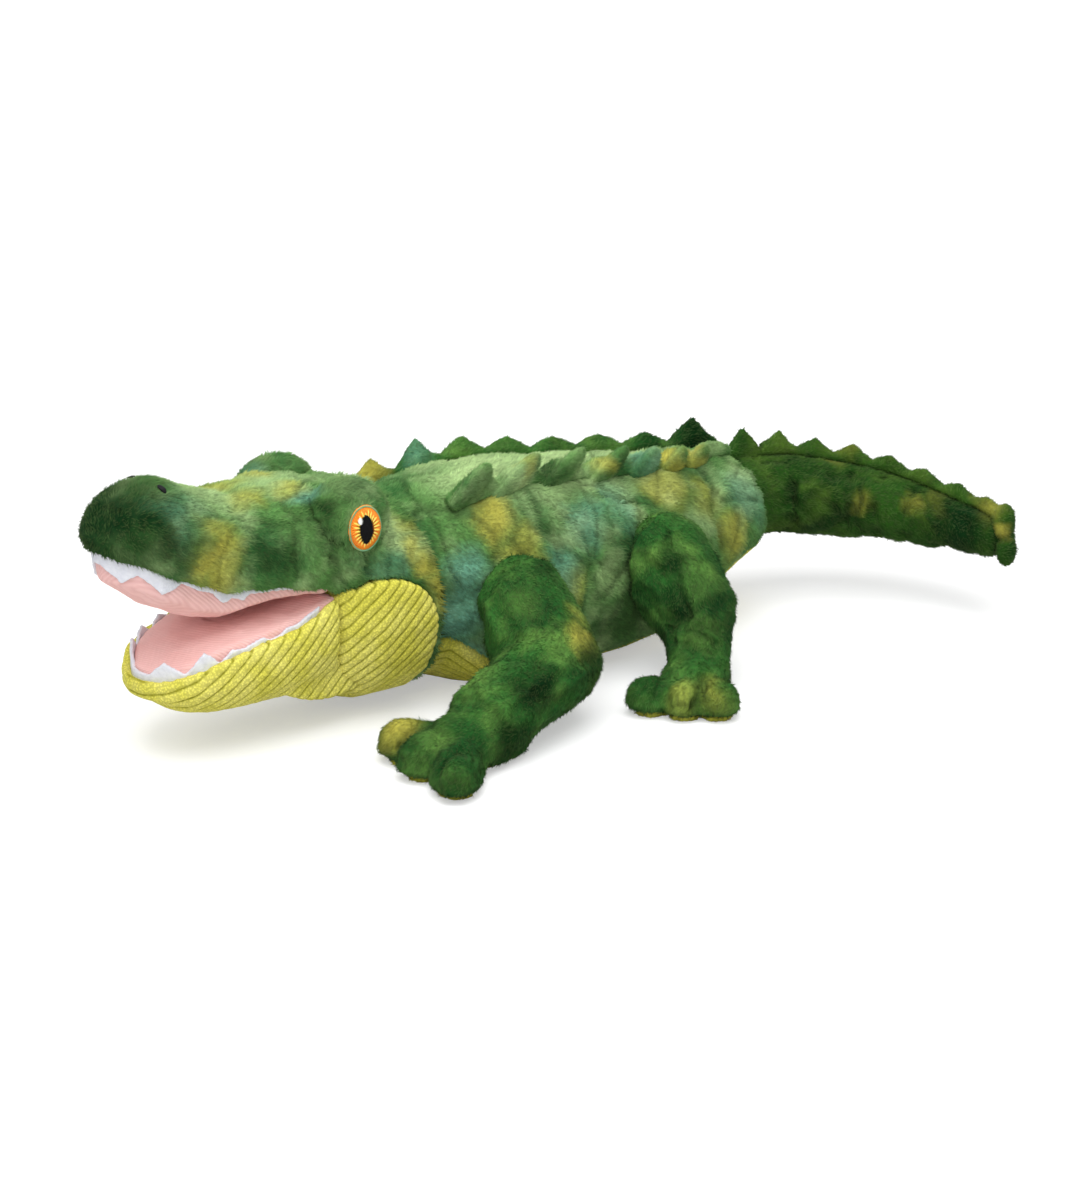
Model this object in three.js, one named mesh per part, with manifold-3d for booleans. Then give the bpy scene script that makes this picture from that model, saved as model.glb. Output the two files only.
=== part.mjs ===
// A stuffed toy crocodile lying on its belly with its mouth open, in millimetres.
// It faces -X, its left side is -Y, and +Z is up from the surface that it lies on.
// While the pieces are made, X is counted from the neck's turning axis.
import * as THREE from 'three';
import { mergeVertices } from 'three/addons/utils/BufferGeometryUtils.js';
import Module from 'manifold-3d';

const wasm = await Module();
wasm.setup();

const radians = THREE.MathUtils.degToRad;

// Cloth, felt and the spaces between pieces
const clothThickness = 1.6;
const feltThickness = 1.4;
const threadThickness = 0.9;
const seamGap = 0.3;
const coverThickness = 3;
const turningGap = 0.5;
const flatDepth = 0.5;
const feltInset = clothThickness + 2 * seamGap;
const liningInset = feltInset + feltThickness + 2 * seamGap;
const fillingInset = coverThickness + 2 * seamGap;
const cutOverrun = 4;
// Corners that lie closer than this are one: an uneven length, so that no size falls on a rounding edge
const weldReach = 0.000141;
const stuffingHoleRadius = 13;

// Torso
const torsoLength = 196;
const torsoWidth = 104;
const torsoHeight = 91;
const bellyPanelWidth = 66;
const bellyPanelRise = 30;

// Neck: the torso's round front turns inside the head's hollow rear
const neckRadius = 38;
const neckHalfHeight = 42;
const neckHeight = 48;
const neckWaist = 7;
const neckRimSetback = 4;
const neckRimLean = 8;

// Tail: its round root turns inside the torso's hollow end
const tailLength = 138;
const tailTurn = radians(90);
const tailStartHeading = radians(12);
const tailRootHalfWidth = 22;
const tailRootHalfHeight = 21;
const tailRootHeight = 48;
const tailTipHeight = 37.5;
const tailWaist = 10.5;
const tailRimWall = 2.6;
const tailRimSetback = 1;

// Snout and skull
const snoutLength = 104;
const snoutTipSetback = 144;
const snoutHalfWidth = 36;
const snoutTopHeight = 113.6;
const upperEdgeHeight = 86;
const skullLength = 62;
const skullHalfWidth = 41;
const skullTop = 97;
const skullBottom = 7;
const cheekLength = 42;
const cheekHeight = 56;
const cheekProud = 1;
const palateBulge = 18;
const liningTuck = 3;
const edgeOverlap = 12;
const edgeHalfShare = 0.93;

// Lower jaw, turning about the corners of the mouth
const mouthCornerSetback = 51;
const mouthCornerHeight = 58;
const jawTipSetback = 128;
const jawHalfWidth = 34;
const jawEdgeHeight = 36;
const jawFloorHeight = 15;
const heelRadius = 43;
const heelReach = radians(108);
const heelHollowFrom = radians(40);
const heelFrom = radians(20);
const heelHalfWidth = 27;
const mouthFloorBulge = 5;

// Felt teeth
const upperToothDepth = 10.5;
const upperFeltDepth = 4.5;
const lowerToothHeight = 7;
const lowerFeltHeight = 3.5;

// Eyes and nostrils
const moundSetback = 42;
const moundOut = 24;
const moundHeight = 85;
const moundHalfLength = 21;
const moundHalfWidth = 13;
const moundHalfHeight = 19;
const eyeWidth = 16;
const eyeHeight = 19;
const eyeForwardTurn = radians(15);
const eyeSetback = 41;
const eyeLift = 86;
const nostrilLength = 8;
const nostrilWidth = 3.6;
const nostrilSetback = 118;
const nostrilOut = 11;

// Ridges of spikes
const ridgeThickness = 6.4;
const ridgeRoot = 5;
const spikeLength = 24.5;
const spikeHeight = 8;
const spikeNotchHeight = 2.6;
const ridgeFrontOut = 23;
const leftRidgeStart = 12;
const rightRidgeStart = -3;
const tailSpikeHeight = 8;
const tailRidgeStart = 14;

// Legs: each turns on a round seat in the torso's side
const legPlaneOut = torsoWidth / 2 + turningGap;
const legSeatDepth = 10;
const legSeatOut = legPlaneOut - legSeatDepth;
const soleThickness = 1.6;
const frontLeg = {
  name: 'front',
  seatX: 28, seatHeight: 45, seatRadius: 18,
  shoulder: { x: 28, out: 46, height: 45, radius: 22 },
  elbow: { x: 25, out: 75, height: 26, radius: 21 },
  forearm: { x: 20, out: 78, height: 24, radius: 21 },
  wrist: { x: -20, out: 90, height: 17, radius: 18 },
  palm: { x: -36, out: 91, radius: 16 },
  toeLength: 26, toeRadius: 10, toeHeading: radians(175), toeFan: radians(52),
  toeLengthShares: [0.95, 0.72, 1.2],
};
// The right front paw is set nearer to the chin than the left one
const frontRightLeg = {
  ...frontLeg,
  wrist: { x: -12, out: 76, height: 17, radius: 18 },
  palm: { x: -26, out: 70, radius: 16 },
};
const hindLeg = {
  name: 'hind',
  seatX: 108, seatHeight: 47, seatRadius: 19,
  shoulder: { x: 106, out: 46, height: 49, radius: 23 },
  elbow: { x: 105, out: 70, height: 33, radius: 19 },
  forearm: { x: 104, out: 73, height: 30, radius: 17 },
  wrist: { x: 93, out: 88, height: 15, radius: 14 },
  palm: { x: 82, out: 96, radius: 14 },
  toeLength: 21, toeRadius: 9, toeHeading: radians(215), toeFan: radians(46),
  toeLengthShares: [1.05, 0.78, 0.9],
};

// Shapes along the animal, as shares of the sizes above, evenly spaced from front to back
const torsoHalfShares = [0.86, 0.935, 0.98, 1, 0.965, 0.9, 0.81, 0.71, 0.6];
const torsoTopShares = [0.99, 1, 0.983, 0.95, 0.915, 0.885, 0.857, 0.833, 0.81];
const torsoBottomShares = [0.01, 0, 0, 0, 0, 0.012, 0.07, 0.145, 0.215];
const tailHalfShares = [1, 1.02, 1, 0.92, 0.82, 0.7, 0.56, 0.44];
const tailRiseShares = [1, 0.93, 0.84, 0.8, 0.72, 0.6, 0.52, 0.48];
const snoutHalfShares = [0.56, 0.65, 0.69, 0.71, 0.735, 0.79, 0.86, 0.945, 1];
const snoutTopShares = [0.86, 0.955, 0.995, 0.993, 0.937, 0.894, 0.902, 0.898, 0.88];
const snoutEdgeShares = [1, 0.977, 0.907, 0.855, 0.828, 0.808, 0.779, 0.715, 0.65];
const skullHalfShares = [0.6, 0.82, 0.93, 0.98, 1];
const skullTopShares = [0.86, 0.98, 1.02, 1.02, 0.98];
const jawHalfShares = [0.6, 0.77, 0.87, 0.94, 0.985, 1, 0.97];
const jawEdgeShares = [1, 1.11, 1.21, 1.29, 1.39, 1.5, 1.6];
const jawBottomShares = [1.6, 1.2, 1.07, 1.03, 1.03, 1, 1];
const cheekOutlineShares = [
  [0, 1], [0.2, 1.04], [0.45, 1.08], [0.7, 1.04], [0.9, 0.93], [1, 0.75], [1, 0.5],
  [0.97, 0.3], [0.85, 0.05], [0.7, -0.15], [0.3, -0.2], [-0.15, -0.2], [-0.15, 0.5],
];
const palateBulgeShares = [0.5, 0.75, 0.85, 0.85, 0.62, 0.34, 0.08];
const mouthFloorBulgeShares = [0.3, 0.7, 1, 1, 0.85, 0.55, 0.1];
const liningReachShare = 0.94;
const upperToothShares = [[0.05, 1], [0.15, 0.75], [0.26, 0.7], [0.42, 0.15], [0.5, 0.3], [0.58, 0.3]];
const lowerToothShares = [[0.08, 0.8], [0.23, 0.95], [0.4, 0.75], [0.55, 0.35], [0.68, 0.25], [0.8, 0.2]];
const upperFeltReachShare = 0.85;
const lowerFeltReachShare = 0.95;
const rightSpikeShares = [1.15, 1.35, 1.15, 1, 1, 1, 0.95, 1.6];
const leftSpikeShares = [1.5, 1.1, 1.1, 1, 0.95, 0.9, 0.8];
const tailSpikeShares = [1, 1, 1, 0.95, 0.9, 0.8, 0.7];

// Where sections and outlines have their middles, ends and fullness, as shares and powers
const poleShare = 0.35;
const torsoMiddleShare = 0.48;
const bellyFullnessShare = 0.7;
const bellyHalfShare = 0.8;
const bellyFrontShare = 0.8;
const bellyRoundShare = 0.2;
const tailEndShare = 0.09;
const tailBluntShare = 0.2;
const tailOverShare = 0.012;
const tailRidgeReachShare = 0.97;
const spikePeakPower = 0.85;
const spikeCrownPower = 0.9;
const spikeNotchEdgeShare = 0.7;
const spikePeakEdgeShare = 0.35;
const spikeWaistShare = 0.45;
const ridgeMeetingPower = 2.2;
const ridgeLeanShare = 0.35;
const snoutEndShare = 0.26;
const snoutEndPower = 0.8;
const snoutMiddleShare = 0.4;
const snoutFullness = 2.2;
const snoutLowerFullness = 3.2;
const snoutRoundShare = 0.2;
const skullEndShare = 0.55;
const skullFullness = 2.3;
const skullLowerFullness = 2.5;
const jawRoundShare = 0.24;
const jawEndShare = 0.3;
const jawEndPower = 0.7;
const jawMiddleShare = 0.72;
const jawFullness = 3.2;
const jawLowerFullness = 2.4;
const liningFullness = 2;
const liningTuckFullness = 6;
const liningHalfShare = 1.04;
const liningLeastShare = 0.1;
const feltEndShare = 0.4;
const forearmFlatShare = 0.86;
const pawFlatShare = 0.72;
const toeFlatShare = 0.9;

// Curves and sections

// The value at share t of a smooth curve through evenly spaced values
function smooth(values, t) {
  const place = THREE.MathUtils.clamp(t, 0, 1) * (values.length - 1);
  const step = Math.min(Math.floor(place), values.length - 2);
  const along = place - step;
  const value = (index) => values[THREE.MathUtils.clamp(index, 0, values.length - 1)];
  const [before, from, to, after] = [value(step - 1), value(step), value(step + 1), value(step + 2)];
  const bend = 2 * before - 5 * from + 4 * to - after;
  const twist = 3 * (from - to) + after - before;
  return from + 0.5 * along * (to - before + along * (bend + along * twist));
}

// Shares from 0 to 1 that lie closer together towards both ends
function endedShares(count) {
  return Array.from({ length: count }, (_, index) => (1 - Math.cos((Math.PI * (index + 0.5)) / count)) / 2);
}

// The size share of a rounded end, from 0 at t = 0 to 1 at t = reach
function roundEnd(t, reach) {
  return t >= reach ? 1 : Math.sqrt(Math.max(0, 1 - (1 - t / reach) ** 2));
}

// One closed section: an oval with its own half width, rise and drop, full or lean
function sectionRing({ centre, side, up, half, rise, drop, fullness = 2, lowerFullness = 2, sides = 24 }) {
  const power = (value, exponent) => Math.sign(value) * Math.abs(value) ** exponent;
  return Array.from({ length: sides }, (_, index) => {
    const angle = (2 * Math.PI * (index + 0.5)) / sides;
    const upper = Math.sin(angle) > 0;
    const exponent = 2 / (upper ? fullness : lowerFullness);
    const across = half * power(Math.cos(angle), exponent);
    const above = (upper ? rise : drop) * power(Math.sin(angle), exponent);
    return centre.clone().addScaledVector(side, across).addScaledVector(up, above);
  });
}

// A closed skin over a row of sections that all have the same number of points
function loft(rings) {
  const sides = rings[0].length;
  const summed = (ring) => ring.reduce((sum, point) => sum.add(point), new THREE.Vector3());
  const middle = (ring) => summed(ring).divideScalar(sides);
  const points = [middle(rings[0]), ...rings.flat(), middle(rings[rings.length - 1])];
  const triangles = [];
  const corner = (ring, index) => 1 + ring * sides + (index % sides);
  for (let index = 0; index < sides; index += 1) {
    triangles.push(0, corner(0, index + 1), corner(0, index));
    for (let ring = 0; ring < rings.length - 1; ring += 1) {
      const [a, b] = [corner(ring, index), corner(ring, index + 1)];
      const [c, d] = [corner(ring + 1, index), corner(ring + 1, index + 1)];
      triangles.push(a, b, d, a, d, c);
    }
    const last = rings.length - 1;
    triangles.push(points.length - 1, corner(last, index), corner(last, index + 1));
  }
  const geometry = new THREE.BufferGeometry().setFromPoints(points);
  geometry.setIndex(triangles);
  return solidOf(geometry);
}

// Solids

function signedVolume(positions, index) {
  const [a, b, c] = [new THREE.Vector3(), new THREE.Vector3(), new THREE.Vector3()];
  let volume = 0;
  for (let start = 0; start < index.length; start += 3) {
    a.fromArray(positions, 3 * index[start]);
    b.fromArray(positions, 3 * index[start + 1]);
    c.fromArray(positions, 3 * index[start + 2]);
    volume += a.dot(b.cross(c)) / 6;
  }
  return volume;
}

// A closed geometry as a solid, with its faces turned outwards
function solidOf(source) {
  const bare = source.clone();
  bare.deleteAttribute('normal');
  bare.deleteAttribute('uv');
  const geometry = mergeVertices(bare, weldReach);
  const positions = new Float32Array(geometry.attributes.position.array);
  const index = new Uint32Array(geometry.index.array);
  if (signedVolume(positions, index) < 0) index.reverse();
  return new wasm.Manifold(new wasm.Mesh({ numProp: 3, vertProperties: positions, triVerts: index }));
}

function geometryOf(solid) {
  const mesh = solid.getMesh();
  const geometry = new THREE.BufferGeometry();
  geometry.setAttribute('position', new THREE.BufferAttribute(new Float32Array(mesh.vertProperties), 3));
  geometry.setIndex(Array.from(mesh.triVerts));
  geometry.computeVertexNormals();
  return geometry;
}

function joined(solids) {
  return solids.reduce((sum, solid) => sum.add(solid));
}

function cut(solid, cutters) {
  return cutters.reduce((rest, cutter) => rest.subtract(cutter), solid);
}

// A box between two corners
function boxBetween(low, high) {
  const size = high.clone().sub(low);
  const box = new THREE.BoxGeometry(size.x, size.y, size.z);
  box.translate(...low.clone().add(high).multiplyScalar(0.5).toArray());
  return solidOf(box);
}

// A round bar between two points
function barBetween(from, to, radius, sides = 24) {
  const reach = to.clone().sub(from);
  const bar = new THREE.CylinderGeometry(radius, radius, reach.length(), sides);
  const heading = reach.clone().normalize();
  bar.applyQuaternion(new THREE.Quaternion().setFromUnitVectors(new THREE.Vector3(0, 1, 0), heading));
  bar.translate(...from.clone().add(to).multiplyScalar(0.5).toArray());
  return solidOf(bar);
}

// An outline of points in the X-Z plane, carried across the animal from one Y to another
function plateAcross(outline, fromY, toY) {
  const depth = toY - fromY;
  const plate = new THREE.ExtrudeGeometry(new THREE.Shape(outline), { depth, bevelEnabled: false });
  plate.rotateX(Math.PI / 2);
  plate.translate(0, toY, 0);
  return solidOf(plate);
}

// An outline of points in the X-Y plane, carried up from one height to another
function plateUp(outline, fromZ, toZ) {
  const depth = toZ - fromZ;
  const plate = new THREE.ExtrudeGeometry(new THREE.Shape(outline), { depth, bevelEnabled: false });
  plate.translate(0, 0, fromZ);
  return solidOf(plate);
}

// A hollow for a round that turns about a vertical axis, wide enough for flat-sided copies of it
function turningHollow(x, height, radius, halfHeight) {
  const around = 24;
  const points = 8;
  const spread = 1 / (Math.cos(Math.PI / around) * Math.cos(Math.PI / (2 * points)));
  const profile = Array.from({ length: points + 1 }, (_, index) => {
    const angle = (Math.PI * index) / points - Math.PI / 2;
    const onAxis = index === 0 || index === points;
    const out = onAxis ? 0 : (radius + turningGap) * Math.cos(angle) * spread;
    return new THREE.Vector2(out, (halfHeight + turningGap) * Math.sin(angle) * spread);
  });
  const hollow = new THREE.LatheGeometry(profile, around);
  hollow.rotateX(Math.PI / 2);
  hollow.translate(x, 0, height);
  return solidOf(hollow);
}

const sideways = new THREE.Vector3(0, 1, 0);
const upwards = new THREE.Vector3(0, 0, 1);

// Torso

// The torso's half width, top and bottom at a distance behind the neck's axis
function torsoAt(x) {
  const t = x / torsoLength;
  const start = { half: neckRadius, top: neckHeight + neckHalfHeight, bottom: neckHeight - neckHalfHeight };
  const rimRise = tailRootHalfHeight + turningGap + tailRimWall;
  const end = {
    half: tailRootHalfWidth + turningGap + tailRimWall,
    top: tailRootHeight + rimRise,
    bottom: tailRootHeight - rimRise,
  };
  const halves = torsoHalfShares.map((share) => (share * torsoWidth) / 2);
  const tops = torsoTopShares.map((share) => share * torsoHeight);
  const bottoms = torsoBottomShares.map((share) => share * torsoHeight - flatDepth);
  return {
    half: smooth([start.half, ...halves, end.half], t),
    top: smooth([start.top, ...tops, end.top], t),
    bottom: smooth([start.bottom, ...bottoms, end.bottom], t),
  };
}

function torsoRing(x, inset, sides) {
  const { half, top, bottom } = torsoAt(x);
  const middle = THREE.MathUtils.lerp(bottom, top, torsoMiddleShare);
  return sectionRing({
    centre: new THREE.Vector3(x, 0, middle), side: sideways, up: upwards, sides, half: half - inset,
    rise: top - middle - inset, drop: middle - bottom - inset, lowerFullness: torsoFullness(x),
  });
}

// The belly is fuller than a round one between the neck and the tail
function torsoFullness(x) {
  return 2 + bellyFullnessShare * Math.sin(Math.PI * THREE.MathUtils.clamp(x / torsoLength, 0, 1));
}

// A ring of the round that fills the neck or the tail's root, at an angle up its flank from its front
function rootRing({ x, z, angle, radius, halfHeight, inset, sides, heading = 0 }) {
  const share = Math.cos(angle);
  const forward = new THREE.Vector3(Math.cos(heading), -Math.sin(heading), 0);
  const side = new THREE.Vector3(Math.sin(heading), Math.cos(heading), 0);
  const height = (halfHeight - inset) * share;
  return sectionRing({
    centre: new THREE.Vector3(x, 0, z).addScaledVector(forward, (radius - inset) * Math.sin(angle)),
    side, up: upwards, sides, half: (radius - inset) * share, rise: height, drop: height,
  });
}

// The turns of a round root's sections, from its pole to its waist
function rootAngles(count, waist) {
  const shares = Array.from({ length: count }, (_, index) => (index + poleShare) / (count - 1 + poleShare));
  return shares.map((share) => THREE.MathUtils.lerp(-Math.PI / 2, waist, share));
}

function torsoForm(inset, sides, frontRings, backRings) {
  const waist = Math.asin(neckWaist / neckRadius);
  const place = { x: 0, z: neckHeight, radius: neckRadius, halfHeight: neckHalfHeight };
  const nose = rootAngles(frontRings, waist).map((angle) => rootRing({ ...place, angle, inset, sides }));
  const length = torsoLength - neckWaist;
  const body = Array.from({ length: backRings }, (_, index) =>
    torsoRing(neckWaist + (length * (index + 1)) / backRings, inset, sides));
  return loft([...nose, ...body]);
}

const torsoTailX = torsoLength - tailRimSetback;
const floorBox = boxBetween(
  new THREE.Vector3(-torsoLength * 2, -torsoLength, -torsoHeight),
  new THREE.Vector3(torsoLength * 2, torsoLength, 0),
);
const torsoOuter = torsoForm(0, 24, 5, 10).subtract(floorBox);
const torsoNearby = torsoForm(-seamGap, 24, 5, 10);
const torsoHollow = torsoForm(coverThickness, 14, 3, 7).subtract(
  boxBetween(
    new THREE.Vector3(-torsoLength, -torsoWidth, -torsoHeight),
    new THREE.Vector3(torsoLength, torsoWidth, coverThickness),
  ),
);
const torsoStuffing = torsoForm(fillingInset, 14, 3, 7).subtract(
  boxBetween(
    new THREE.Vector3(-torsoLength, -torsoWidth, -torsoHeight),
    new THREE.Vector3(torsoLength, torsoWidth, fillingInset),
  ),
);
const tailHollow = turningHollow(torsoTailX, tailRootHeight, tailRootHalfWidth, tailRootHalfHeight);
const neckHollow = turningHollow(0, neckHeight, neckRadius, neckHalfHeight);
const neckStuffingHole = barBetween(
  new THREE.Vector3(-neckRadius - cutOverrun, 0, neckHeight),
  new THREE.Vector3(-neckRadius / 2, 0, neckHeight),
  stuffingHoleRadius,
);

// The round seats that are cut in the torso's sides for the four legs
function legSeat(leg, sign, extra) {
  const from = new THREE.Vector3(leg.seatX, sign * (legSeatOut - extra), leg.seatHeight);
  const to = new THREE.Vector3(leg.seatX, sign * (legPlaneOut + cutOverrun), leg.seatHeight);
  return barBetween(from, to, leg.seatRadius + extra, 20);
}

const legSides = [['left', -1], ['right', 1]];
const legs = [
  { leg: frontLeg, side: 'left', sign: -1 }, { leg: frontRightLeg, side: 'right', sign: 1 },
  { leg: hindLeg, side: 'left', sign: -1 }, { leg: hindLeg, side: 'right', sign: 1 },
];
const legSeats = legs.map(({ leg, sign }) => legSeat(leg, sign, turningGap));
const deepLegSeats = legs.map(({ leg, sign }) => legSeat(leg, sign, turningGap + seamGap));

// The belly panel's plan, with its rounded front under the neck and its point at the tail
function bellyPlan(extra) {
  const half = (x) => Math.min(bellyPanelWidth / 2, torsoAt(x).half * bellyHalfShare)
    * roundEnd((x + neckRadius) / torsoLength, bellyRoundShare);
  const steps = 14;
  const start = -neckRadius * bellyFrontShare;
  const pitch = (torsoLength - start) / steps;
  const places = Array.from({ length: steps + 1 }, (_, index) => start + pitch * index);
  const nearEdge = places.map((x) => new THREE.Vector2(x, -half(x) - extra));
  const farEdge = places.map((x) => new THREE.Vector2(x, half(x) + extra)).reverse();
  return [...nearEdge, ...farEdge];
}

const bellyCutter = (extra) => plateUp(bellyPlan(extra), -torsoHeight, bellyPanelRise + extra);
const torsoShell = cut(torsoOuter, [torsoHollow, neckStuffingHole, tailHollow, ...legSeats]);
const torsoCover = torsoShell.subtract(bellyCutter(seamGap));
const bellyPanel = torsoShell.intersect(bellyCutter(0));
const torsoFilling = cut(torsoStuffing, [
  turningHollow(torsoTailX, tailRootHeight, tailRootHalfWidth + seamGap, tailRootHalfHeight + seamGap),
  ...deepLegSeats,
]);

// Tail

// The middle of the tail, its direction and its section at share t of its length
function tailAt(t) {
  const heading = tailStartHeading + tailTurn * t;
  const radius = tailLength / tailTurn;
  const x = torsoTailX + radius * (Math.sin(heading) - Math.sin(tailStartHeading));
  const y = -radius * (Math.cos(tailStartHeading) - Math.cos(heading));
  const z = THREE.MathUtils.lerp(tailRootHeight, tailTipHeight, THREE.MathUtils.smoothstep(t, 0, 1));
  return {
    heading,
    centre: new THREE.Vector3(x, y, z),
    half: smooth(tailHalfShares, t) * tailRootHalfWidth,
    rise: smooth(tailRiseShares, t) * tailRootHalfHeight,
  };
}

function tailForm(inset, sides, rootRings, ringCount) {
  const size = { radius: tailRootHalfWidth, halfHeight: tailRootHalfHeight };
  const place = { x: torsoTailX, z: tailRootHeight, ...size };
  const waist = Math.asin(tailWaist / tailRootHalfWidth);
  const ring = { ...place, inset, sides, heading: tailStartHeading };
  const root = rootAngles(rootRings, waist).map((angle) => rootRing({ ...ring, angle }));
  const waistShare = tailWaist / tailLength;
  const freeShare = 1 - waistShare - Math.max(0, inset) / tailLength;
  const rest = Array.from({ length: ringCount }, (_, index) => {
    const even = (index + 1) / ringCount;
    const t = waistShare + freeShare * Math.sin((even * Math.PI) / 2);
    const { heading, centre, half, rise } = tailAt(t);
    const end = Math.max(roundEnd(1 + tailOverShare - t, tailEndShare), tailBluntShare);
    const side = new THREE.Vector3(Math.sin(heading), Math.cos(heading), 0);
    const shape = { half: (half - inset) * end, rise: (rise - inset) * end, drop: (rise - inset) * end };
    return sectionRing({ centre, side, up: upwards, sides, ...shape });
  });
  return loft([...root, ...rest]);
}

const tailOuter = tailForm(0, 20, 4, 11);
const tailStuffingHole = barBetween(
  new THREE.Vector3(torsoTailX - tailRootHalfWidth - cutOverrun, 0, tailRootHeight),
  new THREE.Vector3(torsoTailX - tailRootHalfWidth / 2, 0, tailRootHeight),
  stuffingHoleRadius - coverThickness,
);
const tailCover = cut(tailOuter, [tailForm(coverThickness, 12, 3, 7), tailStuffingHole]);
const tailFilling = tailForm(fillingInset, 12, 3, 7);

// Ridges

// A strip of sewn spikes that stands on a line, thick at its root and thin at its edge
function ridge({ line, shares, height, samples }) {
  const rings = [];
  const count = shares.length * samples;
  for (let index = 0; index <= count; index += 1) {
    const place = index / samples;
    const spike = Math.min(Math.floor(place), shares.length - 1);
    const along = place - spike;
    const peak = Math.sin(Math.PI * along ** spikePeakPower) ** spikeCrownPower;
    const top = THREE.MathUtils.lerp(spikeNotchHeight, height * shares[spike], peak);
    const { foot, side, up } = line(index / count);
    const thick = ridgeThickness / 2;
    const edge = THREE.MathUtils.lerp(spikeNotchEdgeShare, spikePeakEdgeShare, peak) * thick;
    const at = (across, above) => foot.clone().addScaledVector(side, across).addScaledVector(up, above);
    rings.push([
      at(thick, -ridgeRoot), at(thick, top * spikeWaistShare), at(edge, top),
      at(-edge, top), at(-thick, top * spikeWaistShare), at(-thick, -ridgeRoot),
    ]);
  }
  return loft(rings);
}

// The height of the torso's skin above a place in its plan
function torsoSkinHeight(x, y) {
  const { half, top, bottom } = torsoAt(x);
  const middle = THREE.MathUtils.lerp(bottom, top, torsoMiddleShare);
  return middle + (top - middle) * Math.sqrt(Math.max(0, 1 - (y / half) ** 2));
}

// A line on the back, from beside the neck to where the two rows meet before the tail
function backLine(sign, startX, endOut, endX) {
  return (t) => {
    const x = THREE.MathUtils.lerp(startX, endX, t);
    const y = sign * THREE.MathUtils.lerp(ridgeFrontOut, endOut, t ** ridgeMeetingPower);
    const lean = sign * ridgeLeanShare * (1 - t);
    const up = new THREE.Vector3(0, Math.sin(lean), Math.cos(lean));
    const side = new THREE.Vector3(0, Math.cos(lean), -Math.sin(lean));
    return { foot: new THREE.Vector3(x, y, torsoSkinHeight(x, y)), side, up };
  };
}

const ridgeMeetingX = leftRidgeStart + spikeLength * leftSpikeShares.length;
const backRidges = [
  { line: backLine(-1, leftRidgeStart, ridgeThickness + seamGap, ridgeMeetingX), shares: leftSpikeShares },
  { line: backLine(1, rightRidgeStart, 0, ridgeMeetingX), shares: rightSpikeShares },
];
const [leftRidge, rightRidge] = backRidges.map((row) =>
  ridge({ ...row, height: spikeHeight, samples: 4 }).subtract(torsoNearby));

function tailLine(t) {
  const reach = (tailRidgeStart + (tailLength * tailRidgeReachShare - tailRidgeStart) * t) / tailLength;
  const { heading, centre, rise } = tailAt(reach);
  const foot = centre.clone().addScaledVector(upwards, rise);
  return { foot, side: new THREE.Vector3(Math.sin(heading), Math.cos(heading), 0), up: upwards };
}

const tailRidge = ridge({ line: tailLine, shares: tailSpikeShares, height: tailSpikeHeight, samples: 4 })
  .subtract(tailForm(-seamGap, 20, 4, 11));

// Head


// The snout's half width, top and lower edge at share t of its length, counted from its tip
function snoutAt(t) {
  return {
    x: -snoutTipSetback + snoutLength * t,
    half: smooth(snoutHalfShares, t) * snoutHalfWidth * roundEnd(t, snoutRoundShare),
    top: smooth(snoutTopShares, t) * snoutTopHeight,
    edge: smooth(snoutEdgeShares, t) * upperEdgeHeight,
  };
}

// The upper jaw: inset draws its skin inwards, and its sections reach on below its edge
function snoutForm(inset, sides, ringCount) {
  const rings = endedShares(ringCount).map((t) => {
    const { x, top, edge } = snoutAt(t + (inset / snoutLength) * (1 - 2 * t));
    const { half } = snoutAt(t);
    const end = roundEnd(t, snoutEndShare) ** snoutEndPower;
    const full = THREE.MathUtils.lerp(edge, top, snoutMiddleShare);
    return sectionRing({
      centre: new THREE.Vector3(x, 0, full), side: sideways, up: upwards, sides,
      half: half - inset * end, rise: (top - full - inset) * end,
      drop: full - edge + (edgeOverlap - inset) * end,
      fullness: snoutFullness, lowerFullness: snoutLowerFullness,
    });
  });
  return loft(rings);
}

function skullForm(inset, sides, ringCount) {
  const start = -neckRimSetback - skullLength;
  const rings = Array.from({ length: ringCount }, (_, index) => {
    const t = Math.sin((Math.PI / 2) * ((index + poleShare) / (ringCount - 1 + poleShare)));
    const end = roundEnd(t, skullEndShare);
    const half = smooth(skullHalfShares, t) * skullHalfWidth * end;
    const middle = THREE.MathUtils.lerp(skullBottom, skullTop, 0.5);
    const rise = (smooth(skullTopShares, t) * skullTop - middle) * end;
    const drop = (middle - skullBottom) * end;
    return sectionRing({
      centre: new THREE.Vector3(start + inset + (skullLength - inset) * t, 0, middle), side: sideways,
      up: upwards, sides, half: half - inset * end, rise: rise - inset * end, drop: drop - inset * end,
      fullness: skullFullness, lowerFullness: skullLowerFullness,
    });
  });
  return loft(rings);
}

// The cheek and throat panel seen from the side: its rounded back lies under the skull
function cheekOutline(extra) {
  const start = -mouthCornerSetback;
  const middle = new THREE.Vector2(start + cheekLength / 2, mouthCornerHeight - cheekHeight / 2);
  const corners = cheekOutlineShares.map(([along, above]) => {
    const x = start + along * cheekLength;
    const z = mouthCornerHeight - cheekHeight + above * cheekHeight;
    return new THREE.Vector3(x, z, 0);
  });
  const curve = new THREE.CatmullRomCurve3(corners, true, 'catmullrom', 0.5);
  return curve.getPoints(26).slice(0, -1).map((point) => {
    const flat = new THREE.Vector2(point.x, point.y);
    const away = flat.clone().sub(middle).normalize();
    return flat.addScaledVector(away, extra);
  });
}

const mouthCorner = new THREE.Vector2(-mouthCornerSetback, mouthCornerHeight);

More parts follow.
